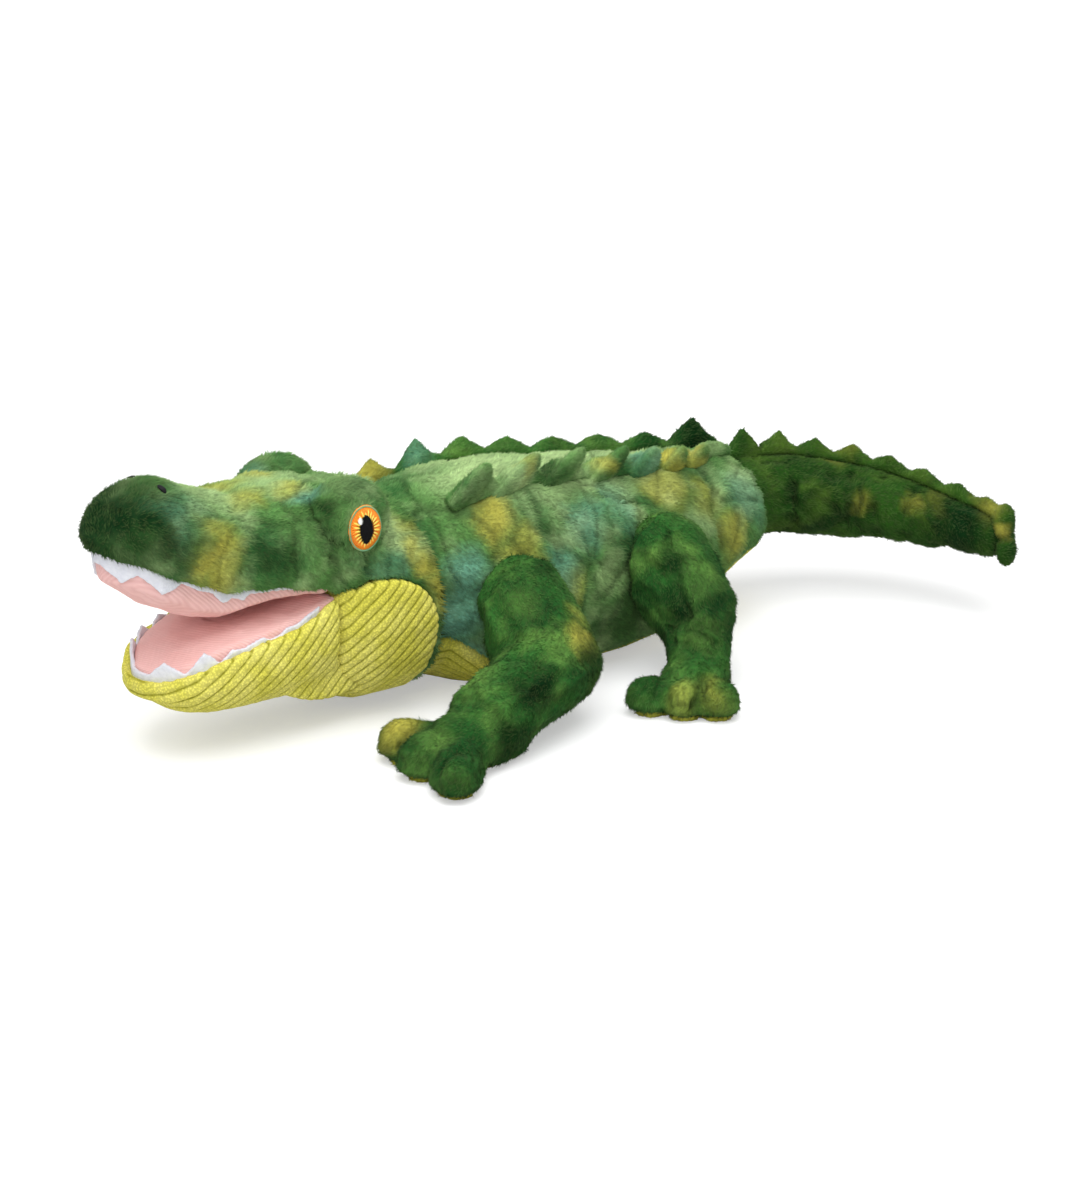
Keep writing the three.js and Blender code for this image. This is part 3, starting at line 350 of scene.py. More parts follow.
def quilt_seeds(points, spacing, seed):
    """Points of the surface that are at least spacing apart."""
    order = np.random.RandomState(seed).permutation(len(points))
    taken = points[order[:1]]
    for index in order[1:seed_tries]:
        if np.min(((taken - points[index]) ** 2).sum(axis=1)) > spacing ** 2:
            taken = np.vstack([taken, points[index]])
    return taken


class Quilt:
    """Pillows between curved creases, found for any points of one cover."""

    # As shares of the spacing: how far the borders wander, over which length, how soon a pillow is at its
    # full height, and the size of the patches with stronger creases
    wander, wander_size, slope, patch_size = 0.3, 0.9, 0.4, 1.3

    def __init__(self, spacing, crease_width, stretch, seed):
        self.spacing, self.crease_width = spacing, crease_width
        self.stretch = np.array(stretch)
        self.seed, self.seeds = seed, None

    def __call__(self, points):
        moved = wandered(points, self.wander * self.spacing, self.wander_size * self.spacing, self.seed)
        moved = moved / self.stretch
        if self.seeds is None:
            self.seeds = quilt_seeds(moved, self.spacing, self.seed)
        away = np.sqrt(((moved[:, None, :] - self.seeds[None]) ** 2).sum(axis=2))
        away.partition(1, axis=1)
        border = away[:, 1] - away[:, 0]
        strength = rise(layered_noise(points, self.patch_size * self.spacing, self.seed + 40), -0.4, 0.4)
        crease_and_shade = strength * np.exp(-(border / self.crease_width) ** 2)
        return 1 - np.exp(-border / (self.slope * self.spacing)), crease_and_shade


def folds(points, lines, spread=1):
    """The strength of the listed folds: each line has its points, its half width and its strength."""
    total = np.zeros(len(points))
    moved = wandered(points, fold_wander, fold_wander_size, 5)
    for line, width, strength in lines:
        away = on_line(moved, line)[0]
        total = np.maximum(total, strength * np.exp(-(away / (spread * width * mm)) ** 2))
    return total


def on_both(table, shift=0):
    """The folds of the left side with their like on the right, moved back by a shift."""
    return table + [([(x + shift, -out, height) for x, out, height in line], width, strength)
                    for line, width, strength in table]


def dyed_on_both(table, shift=0):
    """The patches of each dye on the left side with their like on the right, moved back by a shift."""
    return {dye: rows + [(x + shift, -out, *rest) for x, out, *rest in rows] for dye, rows in table.items()}


# Dyes

# The light channel holds paler dye, and painted light from above on the top of the torso and head
dye_channels = {"mustard": 0, "teal": 1, "dark": 2, "light": 3}
dye_wander = 6 * mm

# As shares of the wander: the lumps of a patch's edge, and how far the finer wander goes. As shares of the
# radius: where a patch starts to fade and where it ends.
broad_edge, fine_edge, fine_share = 2.2, 0.7, 0.3
patch_fade = 0.15, 1.4


def dye_shares(points, patches, reach, seed):
    """How much of each dye each point gets: most near the patches' centres, with wandering edges."""
    moved = wandered(points, reach, broad_edge * reach, seed)
    moved = wandered(moved, fine_share * reach, fine_edge * reach, seed + 3)
    shares = np.zeros((len(points), 4))
    for dye, rows in patches.items():
        channel = dye_channels[dye]
        for *centre, radius, strength in rows:
            away = np.linalg.norm(moved - np.array(along(*centre)), axis=1) / (radius * mm)
            shares[:, channel] = np.maximum(shares[:, channel], strength * (1 - rise(away, *patch_fade)))
    return shares


def finish_skin(piece, cloth, crease_and_shade=0, dyes=0):
    """Gives the piece its cloth, and notes what that reads: the place at rest, the creases that get painted
    shade and the dyes.
    """
    points = points_of(piece)
    note(piece.data, "rest", "FLOAT_VECTOR", points)
    note(piece.data, "dye", "FLOAT_COLOR", np.zeros((len(points), 4)) + dyes)
    for key, values in (("crease_and_shade", crease_and_shade), ("tip", 0), ("streak", 0)):
        note(piece.data, key, "FLOAT", np.zeros(len(points)) + values)
    piece.data.materials.append(cloth)


# Pile

pile_limit = 60000
brush_size, brush_share = 5 * mm, 0.55
comb_width = 1.15 * mm
knit_pitch, knit_wander, knit_patch, knit_share = 1.7 * mm, 9 * mm, 15 * mm, 0.6
loose_share = 0.3
comb_slant = slant_spread = 0.18
shortest, length_spread, comb_length = 0.7, 0.45, 0.15

# As shares of a tuft's width or half width, and how much of a tuft's own shading shows
thinnest, width_spread = 0.35, 0.3
root_depth, root_rise, root_trail = 0.25, 0.8, 0.4
own_normal = 0.4

# How strongly the pile fans out from a place, and the share of its reach with the full strength
fan_strength, fan_core = 1.8, 0.4

# A tuft has three points at its root and one at its tip
tuft_faces = np.array([(0, 3, 2), (2, 3, 1), (1, 3, 0)])

# What each tuft takes over from the skin at its root
carried = {"rest": "FLOAT_VECTOR", "crease_and_shade": "FLOAT", "dye": "FLOAT_COLOR"}


def streaks(points, lie, width, seed):
    """Random values that are alike along the pile and differ across it."""
    steps = range(-3, 4)
    return sum(noise(points + step * 0.6 * width * lie, width, seed) for step in steps) / len(steps) ** 0.5


def laid_flat(nap, normal):
    """Directions along the surface, of length one."""
    nap = nap - (nap * normal).sum(axis=1, keepdims=True) * normal
    return nap / (lengths(nap) + tiny)


def pile(skin, name, spacing, length, width, flow, seed, lean=1.1, keep=None):
    """Short leaning tapered tufts, rooted all over a skin, in as many pieces as their number asks for."""
    points, triangles, outward = arrays_of(skin.data)
    random = np.random.RandomState(seed)
    corners = points[triangles]
    area = np.linalg.norm(np.cross(corners[:, 1] - corners[:, 0], corners[:, 2] - corners[:, 0]), axis=1) / 2
    if keep is not None:
        area = area * keep(corners.mean(axis=1))
    count = int(area.sum() / spacing ** 2)
    chosen = random.choice(len(triangles), count, p=area / area.sum())
    share = np.sqrt(random.rand(count, 1)), random.rand(count, 1)
    weights = np.hstack([1 - share[0], share[0] * (1 - share[1]), share[0] * share[1]])

    def at_roots(values):
        return (values[triangles[chosen]] * weights[:, :, None]).sum(axis=1)

    roots, normal = at_roots(points), at_roots(outward)
    normal /= lengths(normal)
    brushed = np.stack([noise(roots, brush_size, seed + axis) for axis in range(3)], axis=1)
    nap, reach = flow(roots)
    nap = laid_flat(nap + brush_share * brushed, normal)
    comb = streaks(roots, nap, comb_width, seed + 7)
    knit = np.sin(2 * math.pi * (reach / knit_pitch + 0.5 * noise(roots, knit_wander, seed + 8)))
    comb += knit_share * knit * rise(noise(roots, knit_patch, seed + 9), -0.3, 0.5)
    nap = laid_flat(nap + loose_share * random.randn(count, 3), normal)
    slant = (lean + slant_spread * random.randn(count) - comb_slant * comb)[:, None]
    direction = normal * np.cos(slant) + nap * np.sin(slant)
    across = np.cross(nap, normal)
    size = length * (shortest + length_spread * random.rand(count, 1) + comb_length * comb[:, None])
    half = width * (thinnest + width_spread * random.rand(count, 1))
    base = roots - root_depth * half * normal
    front = base + root_rise * half * normal - root_trail * half * nap
    tuft = np.stack([base + across * half, base - across * half, front, roots + direction * size], axis=1)
    tuft[:, :, 2] = np.maximum(tuft[:, :, 2], floor_gap / 2)
    notes = {key: at_roots(noted(skin.data, key, kind)) for key, kind in carried.items()}
    pieces = []
    for number, start in enumerate(range(0, count, pile_limit)):
        some = slice(start, start + pile_limit)
        many = len(tuft[some])
        first = np.arange(many)[:, None] * 4
        faces = np.concatenate([first + order for order in tuft_faces])
        mesh = mesh_of(f"{name}_{number + 1}", tuft[some].reshape(-1, 3), faces)
        for key, kind in carried.items():
            note(mesh, key, kind, np.repeat(notes[key][some], 4, axis=0))
        note(mesh, "streak", "FLOAT", np.repeat(comb[some], 4))
        # Marks the tips, which the material pales with painted sheen
        note(mesh, "tip", "FLOAT", np.tile([0, 0, 0, 1], many))
        mixed = np.repeat(normal[some], 4, axis=0) + own_normal * arrays_of(mesh)[2]
        mesh.normals_split_custom_set_from_vertices((mixed / lengths(mixed)).tolist())
        mesh.materials.append(skin.data.materials[0])
        pieces.append(piece_of(mesh.name, mesh))
    return pieces


def nap_along(line, fall):
    """The way the pile lies, along the nearest stretch of the line with some fall, and the place along it."""
    def flow(points):
        _, place, lie = on_line(points, line)
        lie[:, 2] -= fall
        return lie, place

    return flow


def nap_round(centres, reach, flow):
    """The pile fans out from these places and lies with the flow further away."""
    def around(points):
        lie, place = flow(points)
        for centre in centres:
            away = points - np.array(centre)
            distance = lengths(away)
            lie += fan_strength * (1 - rise(distance, fan_core * reach, reach)) * away / (distance + tiny)
        return lie, place

    return around


# Materials

faint_gloss = 0.1


class Nodes:
    """The nodes of a material or a world, made one by one."""

    def __init__(self, holder, shader="Principled BSDF"):
        holder.use_nodes = True
        self.holder, self.tree = holder, holder.node_tree
        self.shader = self.tree.nodes[shader]

    def give(self, node, inputs):
        """Sets or links the inputs of a node."""
        for key, value in inputs.items():
            if isinstance(value, bpy.types.NodeSocket):
                self.tree.links.new(value, node.inputs[key])
            else:
                node.inputs[key].default_value = value

    def add(self, kind, inputs=None, **settings):
        """A new node with its settings and inputs."""
        node = self.tree.nodes.new(kind)
        for key, value in settings.items():
            setattr(node, key, value)
        self.give(node, inputs or {})
        return node

    def attribute(self, name, output="Fac"):
        return self.add("ShaderNodeAttribute", attribute_name=name).outputs[output]

    def noise(self, place, scale, detail=3):
        inputs = {"Scale": scale, "Detail": detail, "Vector": place}
        return self.add("ShaderNodeTexNoise", inputs).outputs["Fac"]

    def mix(self, share, first, second, blend="MIX"):
        inputs = {0: share, 6: first, 7: second}
        return self.add("ShaderNodeMix", inputs, data_type="RGBA", blend_type=blend).outputs[2]

    def math(self, operation, first, second=0.0):
        return self.add("ShaderNodeMath", {0: first, 1: second}, operation=operation).outputs[0]

    def spread(self, value, low, high, bottom=0.0, top=1.0):
        inputs = {"Value": value, "From Min": low, "From Max": high, "To Min": bottom, "To Max": top}
        return self.add("ShaderNodeMapRange", inputs, interpolation_type="SMOOTHSTEP").outputs["Result"]

    def finish(self, colour, grain, depth, strength, values):
        """Links the colour and the height of the grain to the shader, and sets the shader's own values."""
        bump = self.add("ShaderNodeBump", {"Distance": depth, "Strength": strength, "Height": grain})
        self.give(self.shader, {"Normal": bump.outputs["Normal"], "Base Color": colour, **values})
        return self.holder

    def cloth(self, colour, grain, depth, strength, roughness, sheen, sheen_roughness, sheen_colour):
        return self.finish(colour, grain, depth, strength, {
            "Roughness": roughness, "Specular IOR Level": faint_gloss, "Sheen Weight": sheen,
            "Sheen Roughness": sheen_roughness, "Sheen Tint": sheen_colour})


def new_cloth(name):
    """The nodes of a new material, and the place at rest that its patterns follow."""
    nodes = Nodes(bpy.data.materials.new(name))
    return nodes, nodes.attribute("rest", "Vector")


def linear(red, green, blue):
    """A colour from its screen values of 0 to 255."""
    return tuple((value / 255 / 12.92 if value < 10 else ((value / 255 + 0.055) / 1.055) ** 2.4)
                 for value in (red, green, blue)) + (1.0,)


# Lumps per metre of the plush's patterns, and how much painted sheen pales the tips of its tufts
cloud_scale, mottle_scale, speckle_scale, grain_scale = 36, 62, 800, 1400
tip_sheen_share = 0.12


def plush_material(name, colours, shade):
    """Short plush, dyed in clouds of dark, middle and light green, with painted crease shade and painted tip
    sheen.
    """
    nodes, place = new_cloth(name)
    dark, middle, light = (linear(*colour) for colour in colours)
    colour = nodes.mix(nodes.spread(nodes.noise(place, cloud_scale, 3), 0.24, 0.66, 0.1, 1), dark, middle)
    colour = nodes.mix(nodes.spread(nodes.noise(place, mottle_scale, 4), 0.42, 0.8, 0, 0.75), colour, light)
    dye = nodes.add("ShaderNodeAttribute", attribute_name="dye")
    shares = nodes.add("ShaderNodeSeparateColor", {"Color": dye.outputs["Color"]})
    # The fourth dye share pales toward the light green: paler dye, and painted light from above on the top
    for share, tint in ((dye.outputs["Alpha"], light), (shares.outputs["Green"], linear(102, 156, 132)),
                        (shares.outputs["Red"], linear(178, 170, 72)),
                        (shares.outputs["Blue"], linear(3, 38, 9))):
        colour = nodes.mix(share, colour, tint)
    combed = nodes.spread(nodes.attribute("streak"), -1.1, 1.1, 0.72, 1.3)
    colour = nodes.mix(1.0, colour, combed, "MULTIPLY")
    speckle = nodes.spread(nodes.noise(place, speckle_scale, 2), 0.3, 0.7, 0.86, 1.14)
    colour = nodes.mix(1.0, colour, speckle, "MULTIPLY")
    # Painted shade: creases and folds darken toward a deep green
    painted_crease_shade = nodes.math("MULTIPLY", nodes.attribute("crease_and_shade"), shade)
    colour = nodes.mix(painted_crease_shade, colour, linear(8, 34, 12))
    # Painted sheen: the tufts' tips are paler, where light catches the pile
    painted_tip_sheen = nodes.math("MULTIPLY", nodes.attribute("tip"), tip_sheen_share)
    colour = nodes.mix(painted_tip_sheen, colour, linear(176, 204, 128))
    return nodes.cloth(colour, nodes.noise(place, grain_scale, 2), 0.25 * mm, 0.6, 0.92, 0.1, 0.4,
                       linear(150, 190, 110))


def corduroy_material():
    """Lime corduroy: a knotted grain, with painted shade in the narrow grooves between the ribs."""
    nodes, place = new_cloth("lime_corduroy_cloth")
    cloud = nodes.spread(nodes.noise(place, 60, 3), 0.35, 0.65)
    tone = nodes.mix(cloud, linear(222, 216, 86), linear(238, 231, 118))
    knots = nodes.add("ShaderNodeTexVoronoi", {"Scale": 1050, "Vector": place})
    grain = nodes.spread(knots.outputs["Distance"], 0.1, 0.75, 1.1, 0.72)
    colour = nodes.mix(1.0, tone, grain, "MULTIPLY")
    # Painted shade in the grooves between the ribs, patchy along them
    groove_shade_strength = nodes.spread(nodes.noise(place, 420, 2), 0.3, 0.6, 0.55, 1)
    colour = nodes.mix(nodes.math("MULTIPLY", nodes.attribute("crease_and_shade"), groove_shade_strength), colour, linear(144, 142, 36))
    return nodes.cloth(colour, grain, 0.35 * mm, 0.8, 0.9, 0.15, 0.5, linear(230, 230, 160))


def felt_material():
    """White felt with short tangled fibres."""
    nodes, place = new_cloth("white_felt_cloth")
    tone = nodes.mix(nodes.noise(place, 420, 4), linear(206, 208, 220), linear(238, 240, 244))
    grain = nodes.noise(place, 900, 4)
    return nodes.cloth(tone, grain, 0.35 * mm, 0.8, 0.95, 0.1, 0.6, linear(255, 255, 255))


def twill_material():
    """Pink twill: fine slanting lines, with painted shade, darker and redder, along the fold."""
    nodes, place = new_cloth("pink_twill_cloth")
    wave = nodes.add("ShaderNodeTexWave", {"Scale": 330, "Distortion": 0.8, "Detail": 1, "Vector": place},
                     wave_type="BANDS", bands_direction="DIAGONAL", wave_profile="SIN")
    tone = nodes.mix(nodes.noise(place, 90, 3), linear(236, 186, 180), linear(246, 204, 200))
    colour = nodes.mix(nodes.math("MULTIPLY", wave.outputs["Fac"], 0.3), tone, linear(214, 152, 148))
    # Painted shade along the mouth's fold, darker and redder
    colour = nodes.mix(nodes.math("MULTIPLY", nodes.attribute("crease_and_shade"), 0.8), colour, linear(176, 92, 92))
    return nodes.cloth(colour, wave.outputs["Fac"], 0.15 * mm, 0.8, 0.85, 0.1, 0.5, linear(255, 225, 220))


def thread_material(name, colour, second, roughness=0.42, gloss=0.5):
    """Shiny embroidery thread."""
    nodes, place = new_cloth(name)
    return nodes.finish(nodes.mix(nodes.noise(place, 700, 2), colour, second), nodes.noise(place, 2600, 2),
                        0.1 * mm, 0.5, {"Roughness": roughness, "Specular IOR Level": gloss})


def stuffing_material():
    """White polyester fibre."""
    nodes, place = new_cloth("stuffing_fibre")
    grain = nodes.noise(place, 260, 5)
    tone = nodes.mix(grain, linear(206, 206, 200), linear(238, 238, 234))
    return nodes.cloth(tone, grain, 1.0 * mm, 0.8, 0.95, 0.2, 0.6, linear(255, 255, 255))


plush = plush_material("green_plush_cloth", ((30, 82, 40), (84, 128, 66), (166, 192, 132)), 0.5)
limb_plush = plush_material("dark_green_plush_cloth", ((4, 48, 18), (42, 92, 36), (98, 138, 62)), 0.4)
tail_plush = plush_material("tail_plush_cloth", ((10, 40, 8), (38, 76, 20), (82, 112, 38)), 0.5)
lime_plush = plush_material("lime_plush_cloth", ((160, 160, 50), (186, 184, 66), (204, 200, 90)), 0.3)
corduroy = corduroy_material()
felt = felt_material()
twill = twill_material()
fibre = stuffing_material()


# Skins

# Random lumps and their sizes, the pillows' height and the share of it that lies below the solid's surface,
# the narrow core and the wide valley of a fold, the edge that is tucked under a neighbour, and the heights
# between which a paw spreads
fine_lump, fine_size = 0.2 * mm, 3.2 * mm
broad_lump, broad_size = 0.5 * mm, 16 * mm
pillow_height, pillow_level = 0.8 * mm, 0.6
core_spread, core_share = 1.7, 0.7
valley_spread, valley_share = 4, 0.4
tuck_depth, tuck_reach = 2.2 * mm, 2.5 * mm
paw_base, paw_top = 1 * mm, 9 * mm
tuft_width = 0.5 * mm


def declared(piece, body, nodes=(), seam=None):
    """Hangs a piece on the empty of what it moves with, or with a seam only fixes its place; hides its
    solids.
    """
    if seam is None:
        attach(piece, body)
    else:
        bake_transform(piece)
    if nodes:
        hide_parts(*nodes)
    return piece


def plush_skin(name, form, nodes, body, cloth, flow, grid=1.1 * mm, rounds=4, levels=1,
               swell=0.2 * mm, quilt=None, depth=0.9 * mm, lines=(), patches=None, seam=None,
               seed=1, air=None, still=None, under=(), lower=None, tuft_spacing=0.85 * mm,
               tuft_length=1.9 * mm, keep=None, fold_depth=1.5 * mm, flare=0):
    """A plush cover: its form filled with air, with pillows, folds with painted crease shade, dyes (some of
    them painted light on top) and pile.
    """
    def held(points):
        hold = folds(points, lines)
        if quilt:
            hold = np.maximum(hold, quilt(points)[1])
        if still is not None:
            hold = np.maximum(hold, 1 - still(points))
        return hold

    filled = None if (air is None) else (held, *air)
    skin = rebuilt(name, form, grid, rounds, levels, swell, filled, lower)
    points = points_of(skin)
    height, crease_and_shade = np.zeros(len(points)), np.zeros(len(points))
    # Quilting creases and folds sink the surface and also get painted shade
    if quilt:
        pillow, crease_and_shade = quilt(points)
        height += pillow_height * (pillow - pillow_level) - depth * crease_and_shade
    if lines:
        fold = folds(points, lines, core_spread)
        height -= fold_depth * (core_share * fold + valley_share * folds(points, lines, valley_spread))
        crease_and_shade = np.maximum(crease_and_shade, np.clip(fold, 0, 1))
    height += fine_lump * layered_noise(points, fine_size, seed + 70)
    height += broad_lump * layered_noise(points, broad_size, seed + 80)
    if still is not None:
        height *= still(points)
    for node in under:
        height -= tuck_depth * near_nodes(points, [node], tuck_reach)
    push(skin, height)
    if flare:
        points, _, outward = arrays_of(skin.data)
        low = flare * (1 - rise(points[:, 2], paw_base, paw_top))
        place(skin.data, points + outward * (1, 1, 0) * low[:, None])
    finish_skin(skin, cloth, crease_and_shade, dye_shares(points, patches or {}, dye_wander, seed + 90))
    for tufts in pile(skin, name + "_pile", tuft_spacing, tuft_length, tuft_width, flow, seed + 100,
                      keep=keep):
        declared(tufts, body, seam=seam)
    return declared(skin, body, nodes, seam)


# Where a filling is drawn in, because its cover bends at a seam: the start and end along the animal, how far
# it moves forward there, its middle line as places along and out, its middle height, and how much narrower
# and lower it gets
drawn_ends = {
    "head": ((-48, -6), 16, ((0, 0),), 52, 0.16, 0.18),
    "tail": ((246, 212), 0, ((200, 0), (208, -3), (225, -13), (238, -24), (247, -34)), 46, 0.24, 0.24),
}
filling_inset = {"tail": 1.2 * mm}
wad_grid, wad_gap = 3 * mm, 0.8 * mm
wad_lump, wad_lump_size = 0.6 * mm, 9 * mm


def drawn_in(points, ends, forward, line, height, narrower, lower):
    """The points of a filling, drawn toward its middle near a seam."""
    x = (points[:, 0] - neck_x) / mm
    share = rise(x, *ends) if ends[0] < ends[1] else 1 - rise(x, *ends[::-1])
    moved = points.copy()
    moved[:, 0] -= forward * mm * share
    moved[:, 1] -= narrower * share * (points[:, 1] - np.interp(x, *np.transpose(line)) * mm)
    moved[:, 2] -= lower * share * (points[:, 2] - height * mm)
    return moved


def filling(node, body):
    """The lumpy fibre filling inside a cover, drawn in where the cover bends at a seam."""
    wad = rebuilt(node + "_fibre", solid_form(node), wad_grid, 6, 0, -wad_gap)
    points = points_of(wad)
    push(wad, -wad_lump * (1 + layered_noise(points, wad_lump_size, 5)) - filling_inset.get(body, 0))
    if body in drawn_ends:
        place(wad.data, drawn_in(points_of(wad), *drawn_ends[body]))
    finish_skin(wad, fibre)
    declared(wad, body, [node])


def away_from(nodes, reach):
    """1 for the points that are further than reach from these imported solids, and 0 nearer."""
    return lambda points: 1 - near_nodes(points, nodes, reach)


neck_seam = ("torso", along(-4, 0, 48), along(-34, 0, 48))
tail_seam = ("torso", along(197, 0, 48), along(222, 0, 48))

# How far from a lip's edge the head's cover, the jaw's cover and the linings still hang with it, and the
# share of that with the full hang
cover_reach, jaw_reach, lining_reach = 20 * mm, 12 * mm, 30 * mm
hang_share = 0.15

# The lips hang lower than the solids' edges: place along the head, edge height and how far it hangs
upper_lip = np.array([(-143, 88.8, 0), (-139, 88.4, 0.3), (-133, 87.2, 1.5), (-125, 84, 2.5),
                      (-115, 79.6, 2.8), (-108, 77.2, 3), (-100, 75.2, 4.5), (-95, 74.4, 5), (-90, 73.6, 4.6),
                      (-80, 72, 4), (-66, 70, 4), (-58, 68, 2), (-50, 67, 0)])
lower_lip = np.array([(-127, 33.6, 3.3), (-121, 35, 3.7), (-117, 36.4, 3), (-106, 40, 2), (-90, 43.6, 1.7),
                      (-75, 47.6, 2.6), (-68, 49.6, 3.2), (-60, 51.6, 2.2), (-50, 53, 0)])


def lip_at(lip, points):
    """The lip's edge height and how far it hangs, at each point."""
    x = (points[:, 0] - neck_x) / mm
    return np.interp(x, lip[:, 0], lip[:, 1]) * mm, np.interp(x, lip[:, 0], lip[:, 2]) * mm


def hanging(lip, side, reach):
    """Lowers what lies near a lip's edge: on its upper side, or on its lower side."""
    def lowered(points):
        edge, hang = lip_at(lip, points)
        beyond = (points[:, 2] - edge) * side
        moved = points.copy()
        moved[:, 2] -= hang * (1 - rise(beyond, hang_share * reach, reach))
        return moved

    return lowered


# The tip of the snout and its bridge: the place along the head, half the length and the height of each
snout_swells = ((-122, 12, 1.2), (-97, 13, -3.6))
snout_heights = 90 * mm, 104 * mm

# How far the rear top of the head lies down on the neck, along which stretch and between which heights
rear_drop = 5 * mm
rear_span = -38, -16
rear_heights = 62 * mm, 88 * mm

eye_centres = [tuple(np.mean(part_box(f"eye_{side}"), axis=0)) for side, _ in sides]
nostril_centres = [tuple(np.mean(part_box(f"nostril_{side}"), axis=0)) for side, _ in sides]


def away_from_spots(centres, reach):
    """1 where the pile grows, and 0 under the embroidery at these places."""
    def grows(points):
        away = [np.linalg.norm((points - np.array(centre)) * (1.1, 1, 1), axis=1) for centre in centres]
        return (np.minimum(*away) > reach).astype(float)

    return grows


def head_shape(points):
    """The upper lip hangs, the snout's tip rises, its bridge dips and the rear rim lies down on the neck."""
    moved = hanging(upper_lip, 1, cover_reach)(points)
    x, high = (points[:, 0] - neck_x) / mm, rise(points[:, 2], *snout_heights)
    for middle, half, height in snout_swells:
        moved[:, 2] += high * height * mm * np.exp(-((x - middle) / half) ** 2)
    moved[:, 2] -= rear_drop * rise(x, *rear_span) * rise(points[:, 2], *rear_heights)
    return moved


# What the photograph shows on each cover's left side, in millimetres. A patch of dye has its place, radius
# and strength; the wide light patches along the top of the torso and head are painted light from above. A
# fold has the points of its line, half its width and its strength, and its crease gets painted shade. The
# torso's right side is moved back a little, so that the two sides aren't quite alike.
right_shift = 9
torso_dyes = dyed_on_both({
    "mustard": [
        (27, -33, 76, 12, 0.85), (34, -42, 64, 11, 0.6), (125, -26, 72, 15, 0.55), (148, -31, 63, 12, 0.4),
        (160, -36, 44, 13, 0.7), (60, -50, 46, 9, 0.4),
    ],
    "teal": [
        (5, -36, 40, 17, 1), (8, -38, 54, 13, 0.85), (15, -33, 20, 15, 0.8), (53, -49, 54, 12, 0.6),
        (72, -41, 69, 13, 0.55), (92, -36, 71, 12, 0.5), (176, -27, 58, 14, 0.5),
    ],
    "dark": [(88, -56, 58, 14, 0.6), (86, -49, 24, 22, 0.35)],
    # Paler patches; the wide ones along the back are painted light from above
    "light": [
        (180, -21, 65, 12, 0.7), (40, -9, 90, 28, 0.85), (78, -5, 88, 28, 0.85), (120, -5, 82, 24, 0.75),
        (139, -38, 56, 10, 0.5), (100, -28, 76, 14, 0.5), (60, -30, 80, 10, 0.45),
    ],
}, right_shift)
torso_folds = on_both([
    ([(20, -29, 78), (25, -36, 72), (25, -40, 65), (18, -44, 58)], 1.2, 0.8),
    ([(37, -32, 78), (37, -38, 72), (32, -40, 67), (35, -44, 62)], 1.2, 0.9),
    ([(50, -32, 79), (48, -40, 72), (52, -45, 64), (52, -48, 57)], 1.2, 0.9),
    ([(56, -33, 78), (61, -40, 71), (67, -46, 62), (66, -51, 49), (69, -51, 38)], 1.2, 0.8),
    ([(88, -32, 75), (105, -34, 70), (100, -40, 62), (96, -46, 54)], 1.2, 0.9),
    ([(73, -51, 39), (80, -52, 44), (88, -50, 50)], 1.2, 0.8),
    ([(159, -20, 70), (156, -30, 62), (152, -36, 54), (155, -37, 40)], 1.3, 1),
    ([(176, -14, 70), (186, -18, 66), (188, -23, 60)], 1.2, 0.9),
    ([(157, -32, 59), (171, -29, 58), (184, -27, 54)], 1.2, 0.8),
    ([(166, -32, 55), (167, -34, 46), (161, -35, 38)], 1.2, 0.8),
], right_shift)
head_dyes = dyed_on_both({
    "mustard": [
        (-104, -25, 86, 12, 0.9), (-100, -26, 76, 10, 0.75), (-62, -12, 102, 9, 0.6),
        (-80, -10, 101, 10, 0.55), (-15, -36, 75, 8, 0.6), (-10, -38, 66, 8, 0.8), (-8, -41, 53, 9, 0.9),
        (-14, -30, 86, 7, 0.5),
    ],
    "teal": [
        (-118, -20, 105, 11, 0.5), (-58, -21, 98, 8, 0.8), (-109, -17, 108, 11, 0.25),
        (-28, -36, 70, 9, 0.35),
    ],
    "dark": [
        (-137, -10, 99, 14, 0.9), (-128, -20, 98, 14, 1), (-134, -8, 100, 30, 1), (-120, -24, 92, 11, 0.7),
        (-79, -28, 78, 9, 0.6), (-56, -30, 92, 8, 0.7), (-56, -32, 90, 9, 1), (-52, -34, 84, 8, 0.6),
        (-48, -28, 96, 14, 0.45),
    ],
    # Paler patches; those along the top of the head are painted light from above
    "light": [
        (-23, -32, 83, 9, 0.8), (-95, -5, 108, 15, 0.6), (-20, -5, 100, 13, 0.7), (-66, 0, 106, 16, 0.6),
        (-40, 0, 104, 14, 0.4), (-46, -28, 101, 8, 0.3),
    ],
})
head_folds = on_both([
    ([(-90, -24, 94), (-83, -27, 85), (-81, -27, 71)], 1.3, 0.7),
    ([(-68, -28, 91), (-70, -30, 81), (-69, -29, 70)], 1.3, 0.8),
    ([(-54, -33, 76), (-52, -33, 66)], 1.3, 0.9),
    ([(-39, -35, 75), (-38, -35, 66)], 1.3, 0.9),
    ([(-93, -22, 99), (-79, -25, 93), (-64, -28, 91), (-59, -29, 92)], 1.2, 0.8),
    ([(-135, 5, 102), (-130, -7, 106), (-128, -14, 105)], 1.2, 0.3),
    ([(-29, -30, 96), (-21, -31, 88), (-26, -35, 77)], 1.3, 0.7),
    ([(-67, -17, 99), (-67, -24, 95), (-65, -27, 92)], 1.2, 0.9),
])
tail_dyes = {
    "mustard": [
        (247, -63, 48, 8, 0.45), (229, -43, 47, 7, 0.3), (256, -71, 50, 7, 0.3), (262, -97, 47, 7, 0.4),
        (236, -20, 62, 9, 0.35),
    ],
    "dark": [
        (258, -84, 42, 24, 1), (204, -21, 55, 9, 0.4), (248, -71, 39, 9, 0.9), (222, -35, 39, 8, 0.7),
        (254, -85, 44, 9, 0.8),
    ],
    "light": [(262, -50, 56, 9, 0.35)],
}
